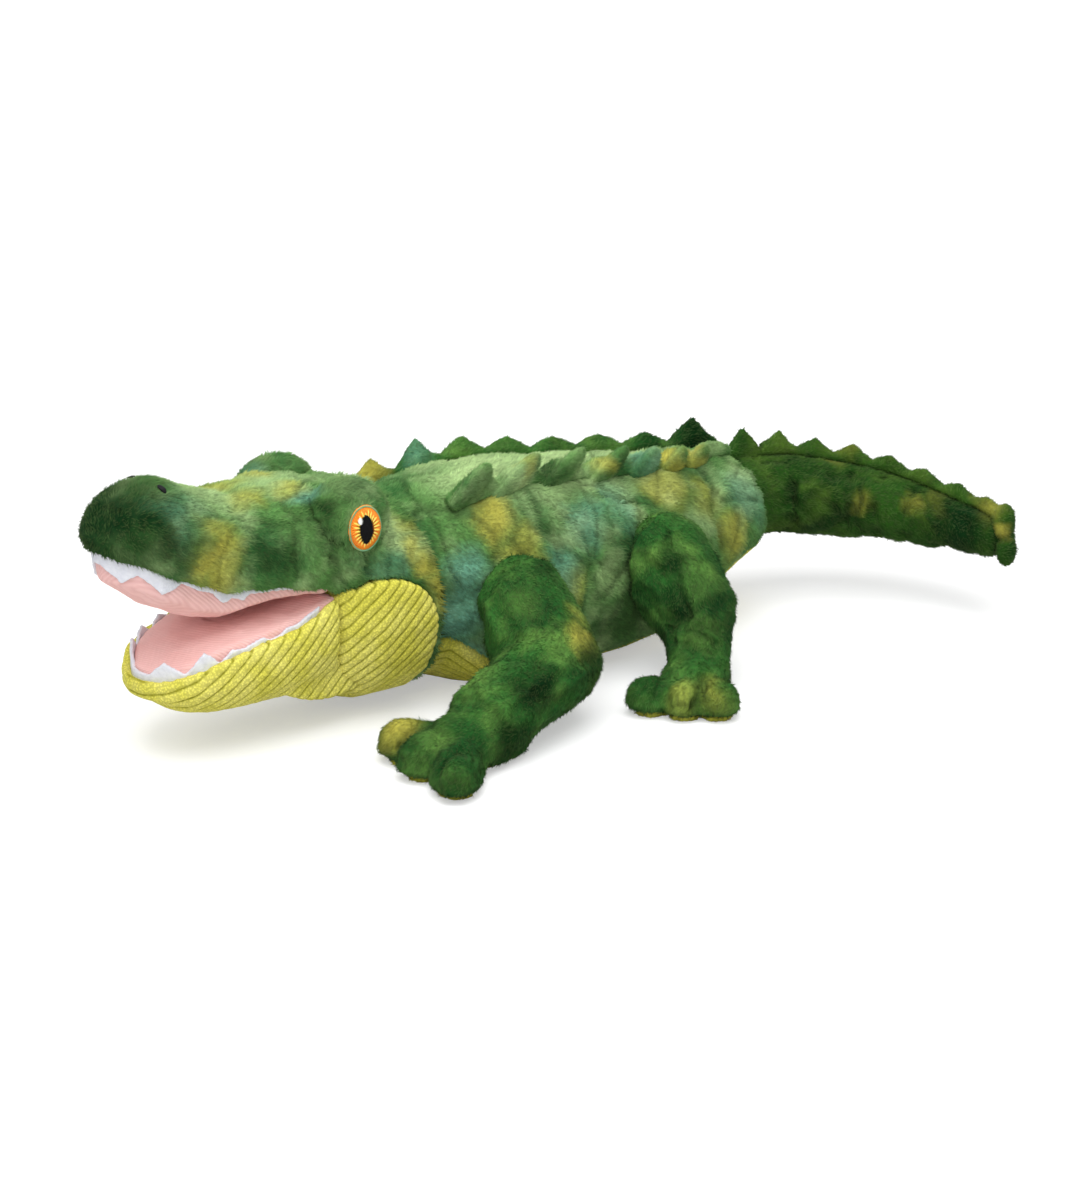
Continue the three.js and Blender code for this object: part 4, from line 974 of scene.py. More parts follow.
tail_folds = [
    ([(210, -24, 58), (207, -26, 49), (211, -23, 35)], 1.4, 1.3),
    ([(227, -31, 58), (222, -37, 45), (229, -39, 35)], 1.2, 0.9),
    ([(236, -34, 58), (228, -42, 45), (228, -38, 35)], 1.2, 0.8),
    ([(248, -43, 57), (235, -49, 45), (240, -47, 31)], 1.2, 0.9),
    ([(255, -58, 54), (244, -61, 46), (246, -58, 32)], 1.2, 0.9),
    ([(260, -74, 50), (251, -75, 43), (255, -70, 29)], 1.2, 0.8),
]
leg_dyes = {
    "front": dyed_on_both({
        "mustard": [(39, -77, 44, 8, 0.35), (32, -88, 38, 9, 0.7), (-54, -69, 15, 10, 0.9)],
        "dark": [
            (-4, -100, 30, 12, 1), (-22, -105, 10, 12, 0.9), (31, -58, 62, 9, 0.6), (-65, -118, 5, 8, 0.5),
            (34, -92, 29, 9, 0.7),
        ],
        "light": [(-19, -78, 30, 12, 0.6), (-54, -91, 17, 9, 0.7), (14, -66, 52, 10, 0.4)],
    }),
    "hind": dyed_on_both({
        "mustard": [(63, -111, 10, 9, 0.4), (74, -118, 12, 10, 0.35)],
        "dark": [
            (90, -79, 37, 10, 1), (95, -88, 26, 15, 0.5), (54, -95, 11, 8, 0.6), (96, -70, 54, 8, 0.8),
            (87, -72, 21, 9, 0.8),
        ],
        "light": [(102, -81, 47, 10, 0.45), (91, -63, 57, 6, 0.8)],
    }),
}
leg_folds = {
    "front": on_both([
        ([(-11, -98, 31), (-6, -102, 27), (-1, -103, 24)], 1.5, 1.4),
        ([(-8, -72, 32), (-4, -84, 36), (3, -92, 35)], 1.3, 0.9),
        ([(-66, -110, 9), (-63, -111, 14), (-57, -110, 17), (-51, -109, 17)], 1.3, 1.6),
        ([(-57, -77, 9), (-53, -78, 15), (-45, -78, 18), (-40, -80, 19)], 1.3, 1.4),
        ([(-29, -88, 30), (-30, -94, 27), (-28, -103, 23), (-24, -106, 17)], 1.4, 0.6),
    ]),
    "hind": on_both([
        ([(99, -61, 65), (95, -69, 54), (91, -76, 43), (91, -83, 34), (86, -76, 28)], 1.6, 1.5),
        ([(86, -74, 27), (89, -88, 29), (95, -96, 24)], 1.3, 1.1),
        ([(79, -106, 15), (74, -110, 13), (70, -113, 10), (67, -114, 5)], 1.3, 1.6),
        ([(84, -81, 29), (92, -89, 29), (101, -93, 28)], 1.5, 0.9),
        ([(84, -81, 24), (85, -91, 23), (92, -98, 21)], 1.3, 0.8),
        ([(58, -100, 10), (62, -98, 14), (71, -90, 15)], 1.2, 1.1),
    ]),
}
ridge_dyes = {
    "back_ridge_left": {
        "mustard": [
            (48, -26, 92, 7, 0.4), (92, -24, 84, 8, 0.6), (142, -17, 79, 10, 0.85), (157, -15, 78, 9, 0.75),
        ],
        "teal": [(122, -19, 83, 11, 0.6)],
        "dark": [(21, -28, 90, 12, 0.25), (66, -26, 86, 9, 0.75), (104, -22, 87, 8, 0.4)],
        "light": [
            (24, -28, 92, 10, 0.5), (44, -26, 85, 11, 0.9), (76, -24, 92, 7, 0.7), (171, -10, 76, 9, 0.4),
        ],
    },
    "back_ridge_right": {
        "mustard": [(4, 23, 90, 11, 0.8)],
        "teal": [(30, 23, 92, 9, 0.5)],
        "dark": [(100, 16, 86, 9, 0.35), (146, 8, 80, 9, 0.5), (170, 3, 82, 14, 1)],
        "light": [(52, 21, 91, 9, 0.35), (76, 20, 89, 9, 0.25)],
    },
    "tail_ridge": {
        "mustard": [(240, -25, 68, 8, 0.2), (262, -94, 52, 9, 0.5), (259, -104, 40, 6, 0.7)],
        "dark": [(266, -107, 33, 7, 0.6)],
        "light": [(216, -7, 71, 9, 0.4), (259, -55, 58, 8, 0.3)],
    },
}


# The plush pieces

backbone = [(0, 0, 80), (90, 0, 75), (195, 0, 48)]
plush_skin(
    "torso_skin", solid_form("torso_filling"), ["torso_cover"], "torso", plush,
    nap_along(backbone, 0.6), grid=3.6 * mm, levels=2, swell=filling_depth + 0.9 * mm, seed=3,
    quilt=Quilt(26 * mm, 2.2 * mm, (1, 1, 1.4), 3), lines=torso_folds, patches=torso_dyes,
    air=(2.2 * mm, 0.03), still=away_from(["belly_panel", "head_cover", "tail_cover"], 5 * mm),
    under=["belly_panel"])
snout_line = [(-144, 0, 90), (-60, 0, 75), (0, 0, 60)]
head_flow = nap_round(eye_centres, 20 * mm, nap_along(snout_line, 0.35))
head_skin = plush_skin(
    "head_skin", outer_form("head_cover", "head_filling"), ["head_cover"], "head", plush,
    head_flow, grid=2.2 * mm, rounds=5, seed=11, quilt=Quilt(30 * mm, 2.2 * mm, (1, 1, 1.5), 11),
    depth=0.4 * mm, lines=head_folds, patches=head_dyes, seam=neck_seam, air=(1.2 * mm, 0.05),
    lower=head_shape, keep=away_from_spots(nostril_centres, 3 * mm),
    still=away_from(["cheek_panel", "upper_teeth", "eye_mound_left", "eye_mound_right", "torso_cover"],
                    3 * mm))


def at_rear_rim(points):
    """1 along the rear edge of the head, where longer pile hangs over the neck, and 0 elsewhere."""
    x, height = (points[:, 0] - neck_x) / mm, points[:, 2] / mm
    return (x > np.interp(height, [22, 54, 85, 100], [-12, -8, -15, -22])) * (height > 24.0)


for tufts in pile(head_skin, "head_fringe", spacing=0.9 * mm, length=3.4 * mm, width=0.55 * mm,
                  flow=head_flow, seed=131, lean=0.95, keep=at_rear_rim):
    declared(tufts, "head", seam=neck_seam)
tail_line = [(195, 0, 48), (260, -20, 44), (300, -70, 40), (310, -120, 38)]
plush_skin(
    "tail_skin", outer_form("tail_cover", "tail_filling"), ["tail_cover"], "tail", tail_plush,
    nap_along(tail_line, 0.3), grid=2.6 * mm, rounds=5, levels=2, seed=17,
    quilt=Quilt(18 * mm, 2 * mm, (1, 1, 2.4), 17), depth=1.3 * mm, fold_depth=2.8 * mm, lines=tail_folds,
    patches=tail_dyes, seam=tail_seam, air=(1.6 * mm, 0.06),
    still=away_from(["torso_cover", "tail_ridge"], 3 * mm))

leg_bones = {
    "front": [(28, 46, 45), (25, 75, 26), (-20, 90, 17), (-50, 95, 8)],
    "hind": [(106, 46, 49), (105, 70, 33), (93, 88, 15), (70, 100, 6)],
}
for end, bones in leg_bones.items():
    for side, sign in sides:
        leg, sole = f"{end}_{side}_leg", f"{end}_{side}_sole"
        line = [(x, sign * out, height) for x, out, height in bones]
        root_x = bones[0][0]
        seam = ("torso", along(root_x, sign * 50, 46), along(root_x, sign * 64, 46))
        plush_skin(leg + "_skin", outer_form(leg, leg + "_filling"), [leg], leg, limb_plush,
                   nap_along(line, 0.1), grid=2.2 * mm, levels=2, seam=seam, seed=23 + sign,
                   lines=leg_folds[end], fold_depth=2 * mm, flare=1.8 * mm, patches=leg_dyes[end],
                   air=(1.6 * mm, 0.06), still=away_from(["torso_cover", sole], 3 * mm))
        plush_skin(sole + "_skin", solid_form(sole), [sole], leg, lime_plush,
                   nap_along(line, 0), grid=0.9 * mm, rounds=3, levels=0, swell=2.2 * mm, seed=31 + sign)

for side, sign in sides:
    mound = f"eye_mound_{side}"
    plush_skin(mound + "_skin", solid_form(mound), [mound], "head", plush, head_flow, rounds=6,
               swell=0.35 * mm, seed=11, patches=head_dyes, keep=away_from_spots(eye_centres, 8.7 * mm))

# The left row lies over to the side. Each spike is a fat leaf: its place along the animal, length and half
# width.
leaves = [(20, 25, 7.8), (45, 31, 7.2), (70, 31, 6.6), (97, 31, 6), (121, 20, 8), (141, 17, 7.8),
          (157, 17, 7.4)]
leaf_rise = math.radians(30)

# How much a leaf widens toward its tip, half its thickness in millimetres, how far its middle lies beside and
# below the strip's top, and how its width leans back, out and up
leaf_taper, leaf_half = 0.3, 3.4
leaf_aside, leaf_sink = 2.8 * mm, 6.2 * mm
leaf_back, leaf_out, leaf_up = 0.7, 0.45, 0.85

# How the height over the notches is changed at each share of a spike's length, and how near a point has to be
# to a notch to give its height
spike_shares, spike_factors = [0, 0.25, 0.5, 0.75, 1], [1, 0.6, 1.35, 0.5, 1]
notch_reach = 1.7 * mm


def ridge_at(node, x):
    """The middle and the top of a ridge at a place along the animal."""
    points = points_of(frame["nodes"][node])
    near = points[np.abs(points[:, 0] - neck_x - x * mm) < 5 * mm]
    return near[:, 1].mean(), near[:, 2].max()


def add_ball(form, shape):
    """Adds a ball of radius 1 to the form, with its points moved by the shape."""
    for vertex in bmesh.ops.create_icosphere(form, subdivisions=3, radius=1)["verts"]:
        vertex.co = shape(vertex.co)


def leafy_form(node):
    """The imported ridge, with the fat leaves of its spikes."""
    form = solid_form(node)
    for x, length, half in leaves:
        middle, top = ridge_at(node, x)

        def leaf(spot):
            long, wide, thick = spot
            taper = 1 + leaf_taper * long
            run = long * length / 2 * mm
            lift = wide * half * taper * mm
            return Vector((
                neck_x + x * mm + run * math.cos(leaf_rise) - lift * math.sin(leaf_rise) * leaf_back,
                middle - leaf_aside + thick * leaf_half * mm * taper - leaf_out * lift,
                top - leaf_sink + run * math.sin(leaf_rise) + lift * leaf_up,
            ))

        add_ball(form, leaf)
    return form


def pointed_form(node, line, count):
    """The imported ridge, with its even spikes drawn up to soft points."""
    form = solid_form(node)
    corners = np.array([vertex.co for vertex in form.verts])
    _, place, _ = on_line(corners, line)
    ends = np.linspace(place.min(), place.max(), count + 1)
    notches = [corners[np.abs(place - end) < notch_reach, 2].max() for end in ends]
    above = np.maximum(corners[:, 2] - np.interp(place, ends, notches), 0)
    share = (place - ends[0]) / (ends[1] - ends[0]) % 1
    factor = np.interp(share, spike_shares, spike_factors)
    for vertex, height in zip(form.verts, above * (factor - 1)):
        vertex.co.z += height
    return form


def tail_strip(form):
    """The tail's strip, with one more spike before it and its end curled over the tip in two lobes."""
    start, length, middle, root, height = 184, 25, -3, 66, 14
    profile = ((0, 3, 0), (1, 3, 0), (0.26, 2.4, 0.5), (0.76, 2.4, 0.45), (0.52, 1.3, 1))
    points = [form.verts.new(along(start + length * share, middle + out, root + height * up))
              for share, reach, up in profile for out in (-reach, reach)]
    bmesh.ops.convex_hull(form, input=points)
    for centre, radii in (((263, -103, 46), (5, 4.5, 8)), ((262, -106, 33), (4.6, 4, 6.5))):
        add_ball(form, lambda spot: Vector(along(*centre)) + Vector(radii) * spot * mm)
    return form


right_ridge_line = [(-3, 23, 83), (50, 22, 86), (100, 17, 82), (140, 10, 76), (184, -2, 73)]
tail_ridge_line = [(208, -3, 66), (225, -13, 65), (238, -24, 62), (247, -34, 60), (254, -47, 57),
                   (260, -60, 53), (264, -75, 50), (265, -90, 48), (264, -101, 46)]
for node, body, form in (("back_ridge_left", "torso", leafy_form("back_ridge_left")),
                         ("back_ridge_right", "torso", pointed_form("back_ridge_right", right_ridge_line, 8)),
                         ("tail_ridge", "tail", tail_strip(pointed_form("tail_ridge", tail_ridge_line, 7)))):
    cloth = {"back_ridge_left": plush, "back_ridge_right": limb_plush, "tail_ridge": tail_plush}[node]
    plush_skin(node + "_skin", form, [node], body, cloth, nap_along(backbone, -0.2),
               grid=0.8 * mm, rounds=2, levels=0, swell=0.1 * mm, seed=53, patches=ridge_dyes[node],
               seam=tail_seam if body == "tail" else None, tuft_length=1.6 * mm, tuft_spacing=0.8 * mm)


# Corduroy

rib_pitch = 5.4 * mm
rib_height, rib_sink, rib_ends = 0.9 * mm, 0.3 * mm, 1.6 * mm
rib_wander, rib_wander_size = 0.5 * mm, 22 * mm
rib_grain, rib_grain_size = 0.1 * mm, 1.4 * mm
rib_seed, groove_sharpness = 61, 5
rear_width, rib_level = 6, 0.6
corduroy_grid, corduroy_swell = 1.1 * mm, 0.1 * mm
belly_share = 0.62
rib_slopes = np.array([(-150, 20), (-125, 30), (-100, 43), (-75, 44), (-45, 46), (-25, 47), (-10, 45),
                       (10, 40)])


def face_ribs(points):
    """How many ribs lie below each point of the face, where the ribs climb along a curve."""
    x = np.linspace(-150, 10, 161)
    climb = np.cumsum(np.tan(np.radians(np.interp(x, rib_slopes[:, 0], rib_slopes[:, 1]))))
    return (points[:, 2] - np.interp((points[:, 0] - neck_x) / mm, x, climb) * mm) / rib_pitch


def belly_ribs(points):
    """How many ribs lie beside each point of the belly."""
    return points[:, 1] / (belly_share * rib_pitch)


def corduroy_skin(name, node, form, body, ribs, seam=None, lower=None, rear=None):
    """A corduroy cover with real ribs."""
    skin = rebuilt(name, form, corduroy_grid, 7, 1, corduroy_swell, lower=lower)
    points = points_of(skin)
    count = ribs(wandered(points, rib_wander, rib_wander_size, rib_seed))
    groove = np.abs(2 * (count % 1) - 1) ** groove_sharpness
    grain = rib_grain * layered_noise(points, rib_grain_size, rib_seed)
    push(skin, rib_height * (1 - groove) - rib_sink + grain)
    if rear is not None:
        points = points_of(skin)
        behind = rise(points[:, 0] - neck_x, (rear - rear_width) * mm, rear * mm)
        points[:, 0] += behind * rib_ends * (rib_level - groove)
        place(skin.data, points)
    # The grooves between the ribs get painted shade
    finish_skin(skin, corduroy, rise(groove, 0.12, 0.7))
    declared(skin, body, [node], seam)


cheek_back = (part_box("cheek_panel")[1][0] - neck_x) / mm
corduroy_skin("jaw_skin", "jaw_cover", outer_form("jaw_cover", "jaw_filling"), "lower_jaw", face_ribs,
              lower=hanging(lower_lip, -1, jaw_reach))
corduroy_skin("cheek_skin", "cheek_panel", solid_form("cheek_panel"), "head", face_ribs, neck_seam,
              rear=cheek_back)
corduroy_skin("belly_skin", "belly_panel", solid_form("belly_panel"), "torso", belly_ribs)


# Mouth

lump_size = 6 * mm
weave, weave_size = 0.05 * mm, 0.9 * mm
mouth_fold_depth = 0.8 * mm

# The stretch of the linings that is drawn into the corners of the mouth, how far back and how far out it
# goes, and half the width of the middle between the two sides
corner_span = -68 * mm, -52 * mm
corner_back, corner_out, corner_middle = 7 * mm, 3 * mm, 8 * mm


def plain_skin(name, node, body, cloth, grid, rounds, levels, swell, lumps, seed, lower=None):
    """A twill or thread piece."""
    skin = rebuilt(name, solid_form(node), grid, rounds, levels, swell)
    points = points_of(skin)
    if lower is not None:
        place(skin.data, lower(points))
    push(skin, lumps * layered_noise(points, lump_size, seed) + weave * noise(points, weave_size, seed + 5))
    folded = folds(points_of(skin), mouth_folds)
    push(skin, -mouth_fold_depth * folded)
    # The mouth's fold is noted for painted shade
    finish_skin(skin, cloth, folded)
    return declared(skin, body, [node])


def to_corner(points, lift):
    """Draws the rear of a lining back into the corner of the mouth."""
    share = rise(points[:, 0] - neck_x, *corner_span)
    moved = points.copy()
    moved[:, 0] += corner_back * share
    moved[:, 1] += corner_out * share * np.tanh(points[:, 1] / corner_middle)
    moved[:, 2] += lift * share
    return moved


mouth_folds = [([(-92, 4, 50), (-90, -5, 51), (-74, -10, 54), (-58, -16, 57)], 1.0, 0.9)]
for name, node, body, seed, lip, side, lift in (
        ("palate_lining_skin", "palate_lining", "head", 71, upper_lip, 1, -2 * mm),
        ("mouth_floor_skin", "mouth_floor_lining", "lower_jaw", 72, lower_lip, -1, 3.5 * mm)):
    plain_skin(name, node, body, twill, 1.2 * mm, 8, 1, 0.3 * mm, 0.6 * mm, seed,
               lambda points: to_corner(hanging(lip, side, lining_reach)(points), lift))

# Felt strips: turn round the jaw in degrees, and how far the cut edge stands from the seam in millimetres
felt_cuts = {
    "upper_teeth": [
        (-134, 2.6), (-120, 3), (-97, 4), (-90, 6.5), (-78, 4.2), (-68, 7.5), (-58, 4), (-47, 4.5), (-41, 6),
        (-33, 13), (-26, 5), (-18, 13), (-7, 5.5), (2, 6), (12, 11), (19.5, 6), (29, 10.5), (37, 3),
        (46, 4.6), (58, 4.2), (68, 7), (78, 4.8), (92, 6.5), (96, 4), (118, 3), (134, 2.6),
    ],
    "lower_teeth": [
        (-134, 4), (-120, 4), (-100, 2.5), (-92, 5), (-76, 3.5), (-60, 8), (-52, 3), (-44, 8.5), (-35, 4),
        (-25, 11), (-12, 5), (8, 4.8), (18, 10), (31, 3), (43, 9), (53, 2.2), (62, 5), (73, 3.5), (91, 4.5),
        (99, 2.2), (120, 4.2), (134, 4),
    ],
}
felt_thickness = 1.5 * mm
felt_tuck, felt_seat = 2.4 * mm, 0.7 * felt_thickness
felt_rows, felt_grid = 14, 0.45 * mm
felt_end, felt_turn = 134, 0.5
felt_wander, felt_wander_size = 0.35 * mm, 4 * mm
fuzz, fuzz_size = 0.16 * mm, 1.6 * mm
ray_start, ray_step = 0.2, 0.5 * mm
slope_steps = 8


def felt_strip(name, node, body, centre_x, side, lip):
    """A felt strip cut into uneven teeth, sewn in along a jaw's edge: the teeth stand up or hang down."""
    tree = tree_of(frame["nodes"][node])
    low, high = (corner[2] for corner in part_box(node))
    degrees = np.arange(-felt_end, felt_end + 0.1, felt_turn)
    cuts = np.array(felt_cuts[node])
    reach = np.interp(degrees, cuts[:, 0], cuts[:, 1]) * mm
    grid, rows = [], felt_rows
    for degree, far in zip(degrees, reach):
        turn = math.radians(degree)
        out = Vector((-math.cos(turn), -math.sin(turn), 0))
        hits = []
        for height in np.arange(low, high, ray_step):
            axis = Vector((neck_x + centre_x * mm, 0, height))
            hit = tree.ray_cast(axis + out * ray_start, -out, ray_start)[0]
            if hit is not None:
                hits.append((height, (hit - axis).length))
        hits.sort(reverse=side < 0)
        seam_height, radius = hits[0]
        far_height, far_radius = hits[min(slope_steps, len(hits) - 1)]
        slope = (far_radius - radius) / (far_height - seam_height)
        column = []
        for row in range(rows + 1):
            away = -felt_tuck + (far + felt_tuck) * row / rows
            spot = Vector((neck_x + centre_x * mm, 0, seam_height + side * away))
            column.append(spot + out * (radius + slope * side * max(away, 0) - felt_seat))
        grid.append(column)
    points = np.array([tuple(point) for column in grid for point in column])
    _, hang = lip_at(lip, points)
    points[:, 2] -= hang
    width = rows + 1
    first = (np.arange(len(grid) - 1)[:, None] * width + np.arange(rows)).ravel()
    faces = np.concatenate([np.stack([first, first + width, first + width + 1], 1),
                            np.stack([first, first + width + 1, first + 1], 1)])
    mesh = mesh_of(name, wandered(points, felt_wander, felt_wander_size, 33), faces)
    mesh = with_modifiers(name, mesh, [("SOLIDIFY", {"thickness": felt_thickness, "offset": 0}),
                                       ("REMESH", {"mode": "VOXEL", "voxel_size": felt_grid}),
                                       ("SMOOTH", {"factor": 0.5, "iterations": 3})])
    smooth(mesh)
    strip = piece_of(name, mesh)
    push(strip, fuzz * layered_noise(points_of(strip), fuzz_size, 73))
    finish_skin(strip, felt)
    declared(strip, body, [node])


felt_strip("upper_teeth_strip", "upper_teeth", "head", -90, -1, upper_lip)
felt_strip("lower_teeth_strip", "lower_teeth", "lower_jaw", -85, 1, lower_lip)


# Embroidery

black = thread_material("black_thread", linear(4, 4, 6), linear(14, 14, 16), 0.7, 0.12)
orange = thread_material("orange_thread", linear(238, 120, 10), linear(250, 152, 20))
yellow = thread_material("yellow_thread", linear(250, 208, 60), linear(252, 224, 110))
white = thread_material("white_thread", linear(236, 236, 232), linear(250, 250, 248))
mint = thread_material("mint_thread", linear(96, 158, 112), linear(124, 180, 132))


stitch_sides = 6
stitch_end = 0.15


def threads(name, paths, width, height, cloth, body):
    """A row of stitches: each follows its path of places with an outward direction, fat in the middle."""
    points, faces = [], []
    for path in paths:
        centres = np.array([corner for corner, _ in path])
        outward = np.array([direction for _, direction in path])
        run = np.gradient(centres, axis=0)
        run /= lengths(run) + tiny
        across = np.cross(run, outward)
        base = len(points)
        for index in range(len(path)):
            share = index / (len(path) - 1)
            fat = (1 - (2 * share - 1) ** 4) ** 0.5 * (1 - stitch_end) + stitch_end
            for step in range(stitch_sides):
                turn = 2 * math.pi * step / stitch_sides
                points.append(centres[index] + fat * (across[index] * math.cos(turn) * width / 2
                                                      + outward[index] * math.sin(turn) * height / 2))
        for index in range(len(path) - 1):
            for step in range(stitch_sides):
                start = base + index * stitch_sides
                one, two = start + step, start + (step + 1) % stitch_sides
                faces += [(one, two, two + stitch_sides), (one, two + stitch_sides, one + stitch_sides)]
        last = base + (len(path) - 1) * stitch_sides
        for step in range(1, stitch_sides - 1):
            faces += [(base, base + step + 1, base + step), (last, last + step, last + step + 1)]
    piece = piece_of(name, mesh_of(name, np.array(points), np.array(faces)))
    finish_skin(piece, cloth)
    declared(piece, body)


ray_count, rim_count = 48, 84

# As shares of the eye's half width and half height: where the rays, the inner rays and the rim start and end,
# with how much that varies, and the middles and half sizes of the pupil and of the glint beside its middle
ray_inner, ray_outer, ray_jitter = 0.52, 0.93, (0.12, 0.03)
inner_start, inner_end, inner_jitter, inner_turn = 0.4, 0.74, 0.14, 0.04
rim_inner, rim_outer = 0.93, 1.03
pupil_shares, glint_shares = (-0.06, -0.02, 0.48, 0.64), (-0.36, 0.42, 0.15, 0.15)

# How far the stitches stand on the eye, and how far apart the rows of pupil and glint are
ray_lift, inner_lift, rim_lift = 0.2 * mm, 0.42 * mm, 0.1 * mm
pupil_pitch, pupil_lift = 0.42 * mm, 0.55 * mm
glint_pitch, glint_lift = 0.4 * mm, 0.9 * mm
nostril_lift, nostril_scale = 0.5 * mm, 0.7


def embroidered_eye(side, sign):
    """An oval eye: orange rays, yellow inner rays, a satin pupil, a glint and a mint rim."""
    node = f"eye_{side}"
    disc = plain_skin(node + "_ground", node, "head", orange, 0.5 * mm, 3, 0, 0, 0, 75)
    points = points_of(disc)
    centre = (points.min(axis=0) + points.max(axis=0)) / 2
    outward = np.linalg.svd(points - points.mean(axis=0), full_matrices=False)[2][2]
    outward *= np.sign(outward[1] * sign)
    up = np.array(upward) - outward * outward[2]
    up /= np.linalg.norm(up)
    back = np.cross(up, outward) * -sign
    flat = np.stack([(points - centre) @ back, (points - centre) @ up], axis=1)
    wide, tall = np.abs(flat).max(axis=0) * 0.97
    tree = tree_of(disc)

    def spot(u, v, lift):
        start = centre + back * u + up * v + outward * 8 * mm
        hit = tree.ray_cast(Vector(start), Vector(-outward), 20 * mm)[0]
        at = np.array(hit) if hit is not None else centre + back * u + up * v
        return at + outward * lift, outward

    def ray(turn, inner, outer, lift, steps=5):
        return [spot(wide * math.cos(turn) * share, tall * math.sin(turn) * share, lift)
                for share in np.linspace(inner, outer, steps)]

    def rows(u, v, half_wide, half_tall, pitch, lift, steps=7):
        made = []
        for height in np.arange(-half_tall + pitch / 2, half_tall, pitch):
            reach = half_wide * math.sqrt(1 - (height / half_tall) ** 2)
            made.append([spot(u + reach * share, v + height, lift) for share in np.linspace(-1, 1, steps)])
        return made

    turns, rim_turns = ([2 * math.pi * step / count for step in range(count)]
                        for count in (ray_count, rim_count))
    jitter = np.random.RandomState(7).rand(ray_count, 2)
    rays = [ray(turn, ray_inner + ray_jitter[0] * a, ray_outer - ray_jitter[1] * b, ray_lift)
            for turn, (a, b) in zip(turns, jitter)]
    inner_rays = [ray(turn + inner_turn, inner_start, inner_end + inner_jitter * b, inner_lift)
                  for turn, (_, b) in zip(turns[::2], jitter)]
    eye_size = wide, tall, wide, tall
    pupil_place, glint_place = np.array(pupil_shares) * eye_size, np.array(glint_shares) * eye_size
    glint_place[0] += pupil_place[0]
    pupil = rows(*pupil_place, pupil_pitch, pupil_lift)
    glint = rows(*glint_place, glint_pitch, glint_lift, 4)
    rim = [ray(turn, rim_inner, rim_outer, rim_lift, 3) for turn in rim_turns]
    for part, paths, width, height, cloth, slot in (
            ("rays", rays, 1.05, 0.7, orange, "eye_thread"),
            ("inner_rays", inner_rays, 0.9, 0.6, yellow, "eye_thread"),
            ("pupil", pupil, 0.6, 0.6, black, "black_thread"),
            ("glint", glint, 0.55, 0.5, white, "white_felt"),
            ("rim", rim, 0.8, 0.7, mint, "green_plush")):
        threads(f"{node}_{part}", paths, width * mm, height * mm, cloth, "head")


def embroidered_nostril(side, centre):
    """A short satin patch that lies in the plush of the snout."""
    node = f"nostril_{side}"
    stitches = plain_skin(node + "_stitches", node, "head", black, 0.4 * mm, 2, 0, -0.1 * mm,
                          0.2 * mm, 77)
    hit, outward, _, _ = tree_of(head_skin).find_nearest(Vector(centre))
    points = points_of(stitches)
    seat = np.array(hit) + np.array(outward) * nostril_lift
    place(stitches.data, seat + nostril_scale * (points - points.mean(axis=0)))


for (side, sign), nostril in zip(sides, nostril_centres):
    embroidered_eye(side, sign)
    embroidered_nostril(side, nostril)

for node, body in (("torso_filling", "torso"), ("head_filling", "head"), ("jaw_filling", "lower_jaw"),
                   ("tail_filling", "tail")):
    filling(node, body)
for end, side in itertools.product(("front", "hind"), ("left", "right")):
    filling(f"{end}_{side}_leg_filling", f"{end}_{side}_leg")


# Floor, light and camera. The floor's own light grows with the distance, so that the ground stays white.

floor_shade, floor_glow = 0.62, 0.42
floor_reach = 40
glow_start, glow_end = 0.45, 1.6
world_strength = 0.5


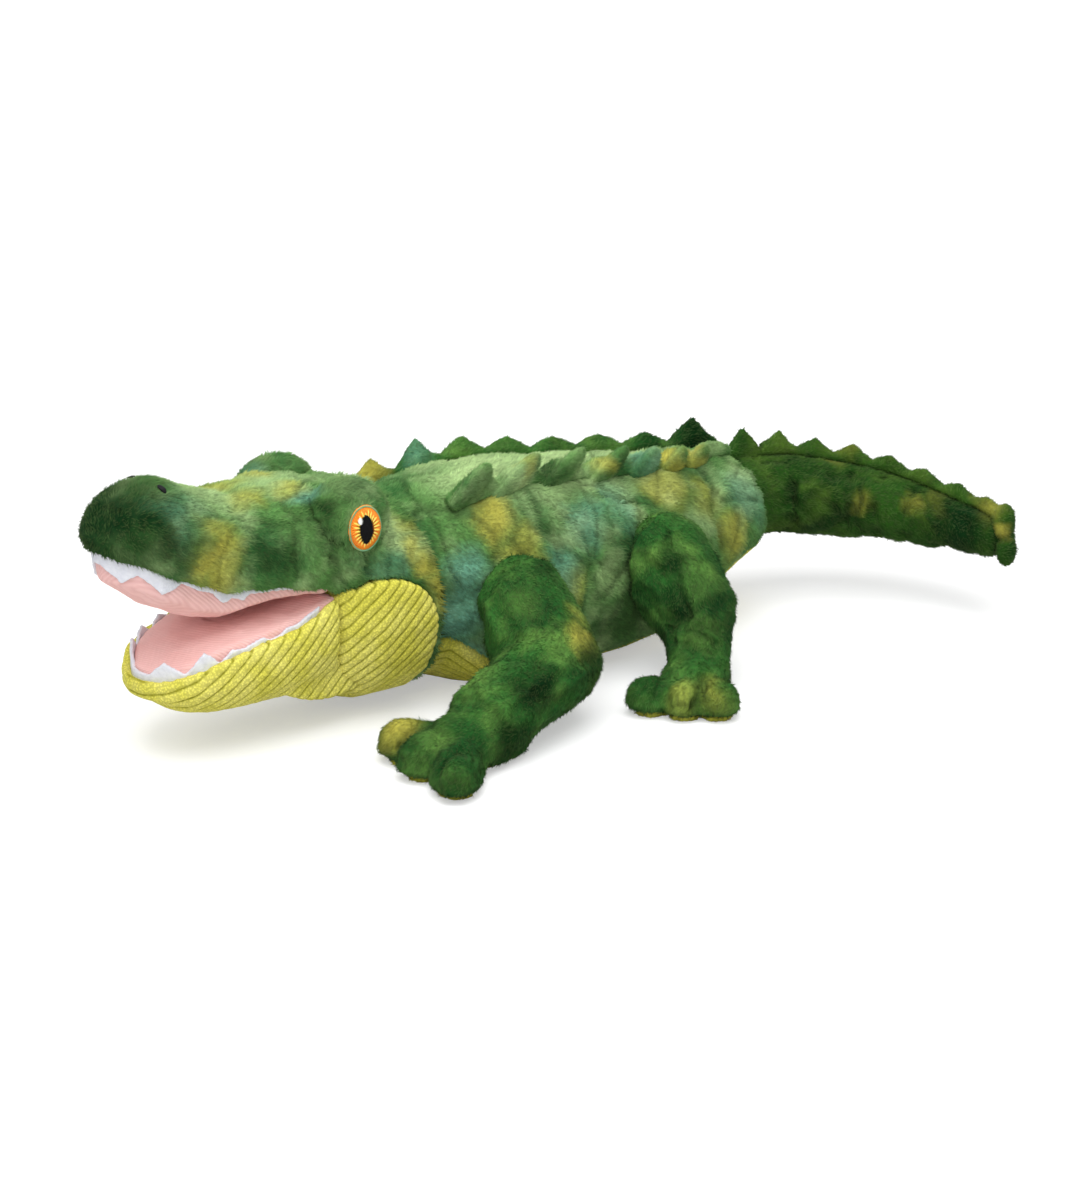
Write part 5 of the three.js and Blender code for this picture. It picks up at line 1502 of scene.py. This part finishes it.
def floor():
    """A pale floor that is white to the camera away from the object's shadow."""
    corners = np.array([[-1, -1, 0], [1, -1, 0], [1, 1, 0], [-1, 1, 0]], float) * floor_reach
    plane = piece_of("floor", mesh_of("floor", corners, np.array([[0, 1, 2], [0, 2, 3]])))
    nodes = Nodes(bpy.data.materials.new("floor_paper"))
    nodes.give(nodes.shader, {"Base Color": (floor_shade, floor_shade, floor_shade, 1), "Roughness": 0.9,
                              "Specular IOR Level": faint_gloss})
    seen = nodes.add("ShaderNodeLightPath")
    direct = nodes.math("MAXIMUM", seen.outputs["Is Camera Ray"], seen.outputs["Is Glossy Ray"])
    direct = nodes.math("MAXIMUM", direct, seen.outputs["Is Transmission Ray"])
    spot = nodes.add("ShaderNodeNewGeometry")
    away = nodes.add("ShaderNodeVectorMath", {0: spot.outputs["Position"]}, operation="LENGTH")
    strength = nodes.spread(away.outputs["Value"], glow_start, glow_end, floor_glow, 1.0)
    glow = nodes.add("ShaderNodeEmission", {"Strength": nodes.math("MULTIPLY", direct, strength)})
    both = nodes.add("ShaderNodeAddShader", {0: nodes.shader.outputs["BSDF"], 1: glow.outputs["Emission"]})
    nodes.give(nodes.tree.nodes["Material Output"], {"Surface": both.outputs["Shader"]})
    plane.data.materials.append(nodes.holder)


def world():
    """Soft light from all round, and plain white for the camera."""
    nodes = Nodes(bpy.data.worlds.new("studio"), "Background")
    bpy.context.scene.world = nodes.holder
    seen = nodes.add("ShaderNodeLightPath")
    direct = nodes.math("MAXIMUM", seen.outputs["Is Camera Ray"], seen.outputs["Is Glossy Ray"])
    strength = nodes.spread(direct, 0, 1, world_strength, 1.0)
    nodes.give(nodes.shader, {"Color": (1, 1, 1, 1), "Strength": strength})


def aimed(name, data, place, toward):
    """A light or a camera that stands at a place and looks that way."""
    thing = piece_of(name, data)
    thing.location = place
    thing.rotation_mode = "QUATERNION"
    thing.rotation_quaternion = toward.to_track_quat("-Z", "Y")
    return thing


def soft_light(name, place, size, power):
    """A square soft box that faces the object."""
    light = bpy.data.lights.new(name, "AREA")
    light.size, light.energy = size, power
    aimed(name, light, place, -Vector(place))


def camera():
    """The photograph's camera: 40 degrees to the left of the front and 18 above, from 1.3 m."""
    azimuth, elevation, distance = math.radians(-40), math.radians(18), 1.3
    target = Vector((13.048 * mm, 0, 23 * mm))
    back = Vector((math.sin(azimuth) * math.cos(elevation), -math.cos(azimuth) * math.cos(elevation),
                   math.sin(elevation)))
    data = bpy.data.cameras.new("camera")
    focal_pixels, image_height = 2990, 1195
    data.lens = data.sensor_width * focal_pixels / image_height
    bpy.context.scene.camera = aimed("camera", data, target + back * distance, -back)


floor()
world()
soft_light("overhead", (-0.25, -0.35, 1.7), 1.7, 30)
soft_light("key", (-1.1, -1.0, 1.1), 1.1, 10)
soft_light("back", (0.7, 1.2, 1.3), 1.2, 8)
camera()
bpy.context.scene.view_settings.view_transform = "Standard"
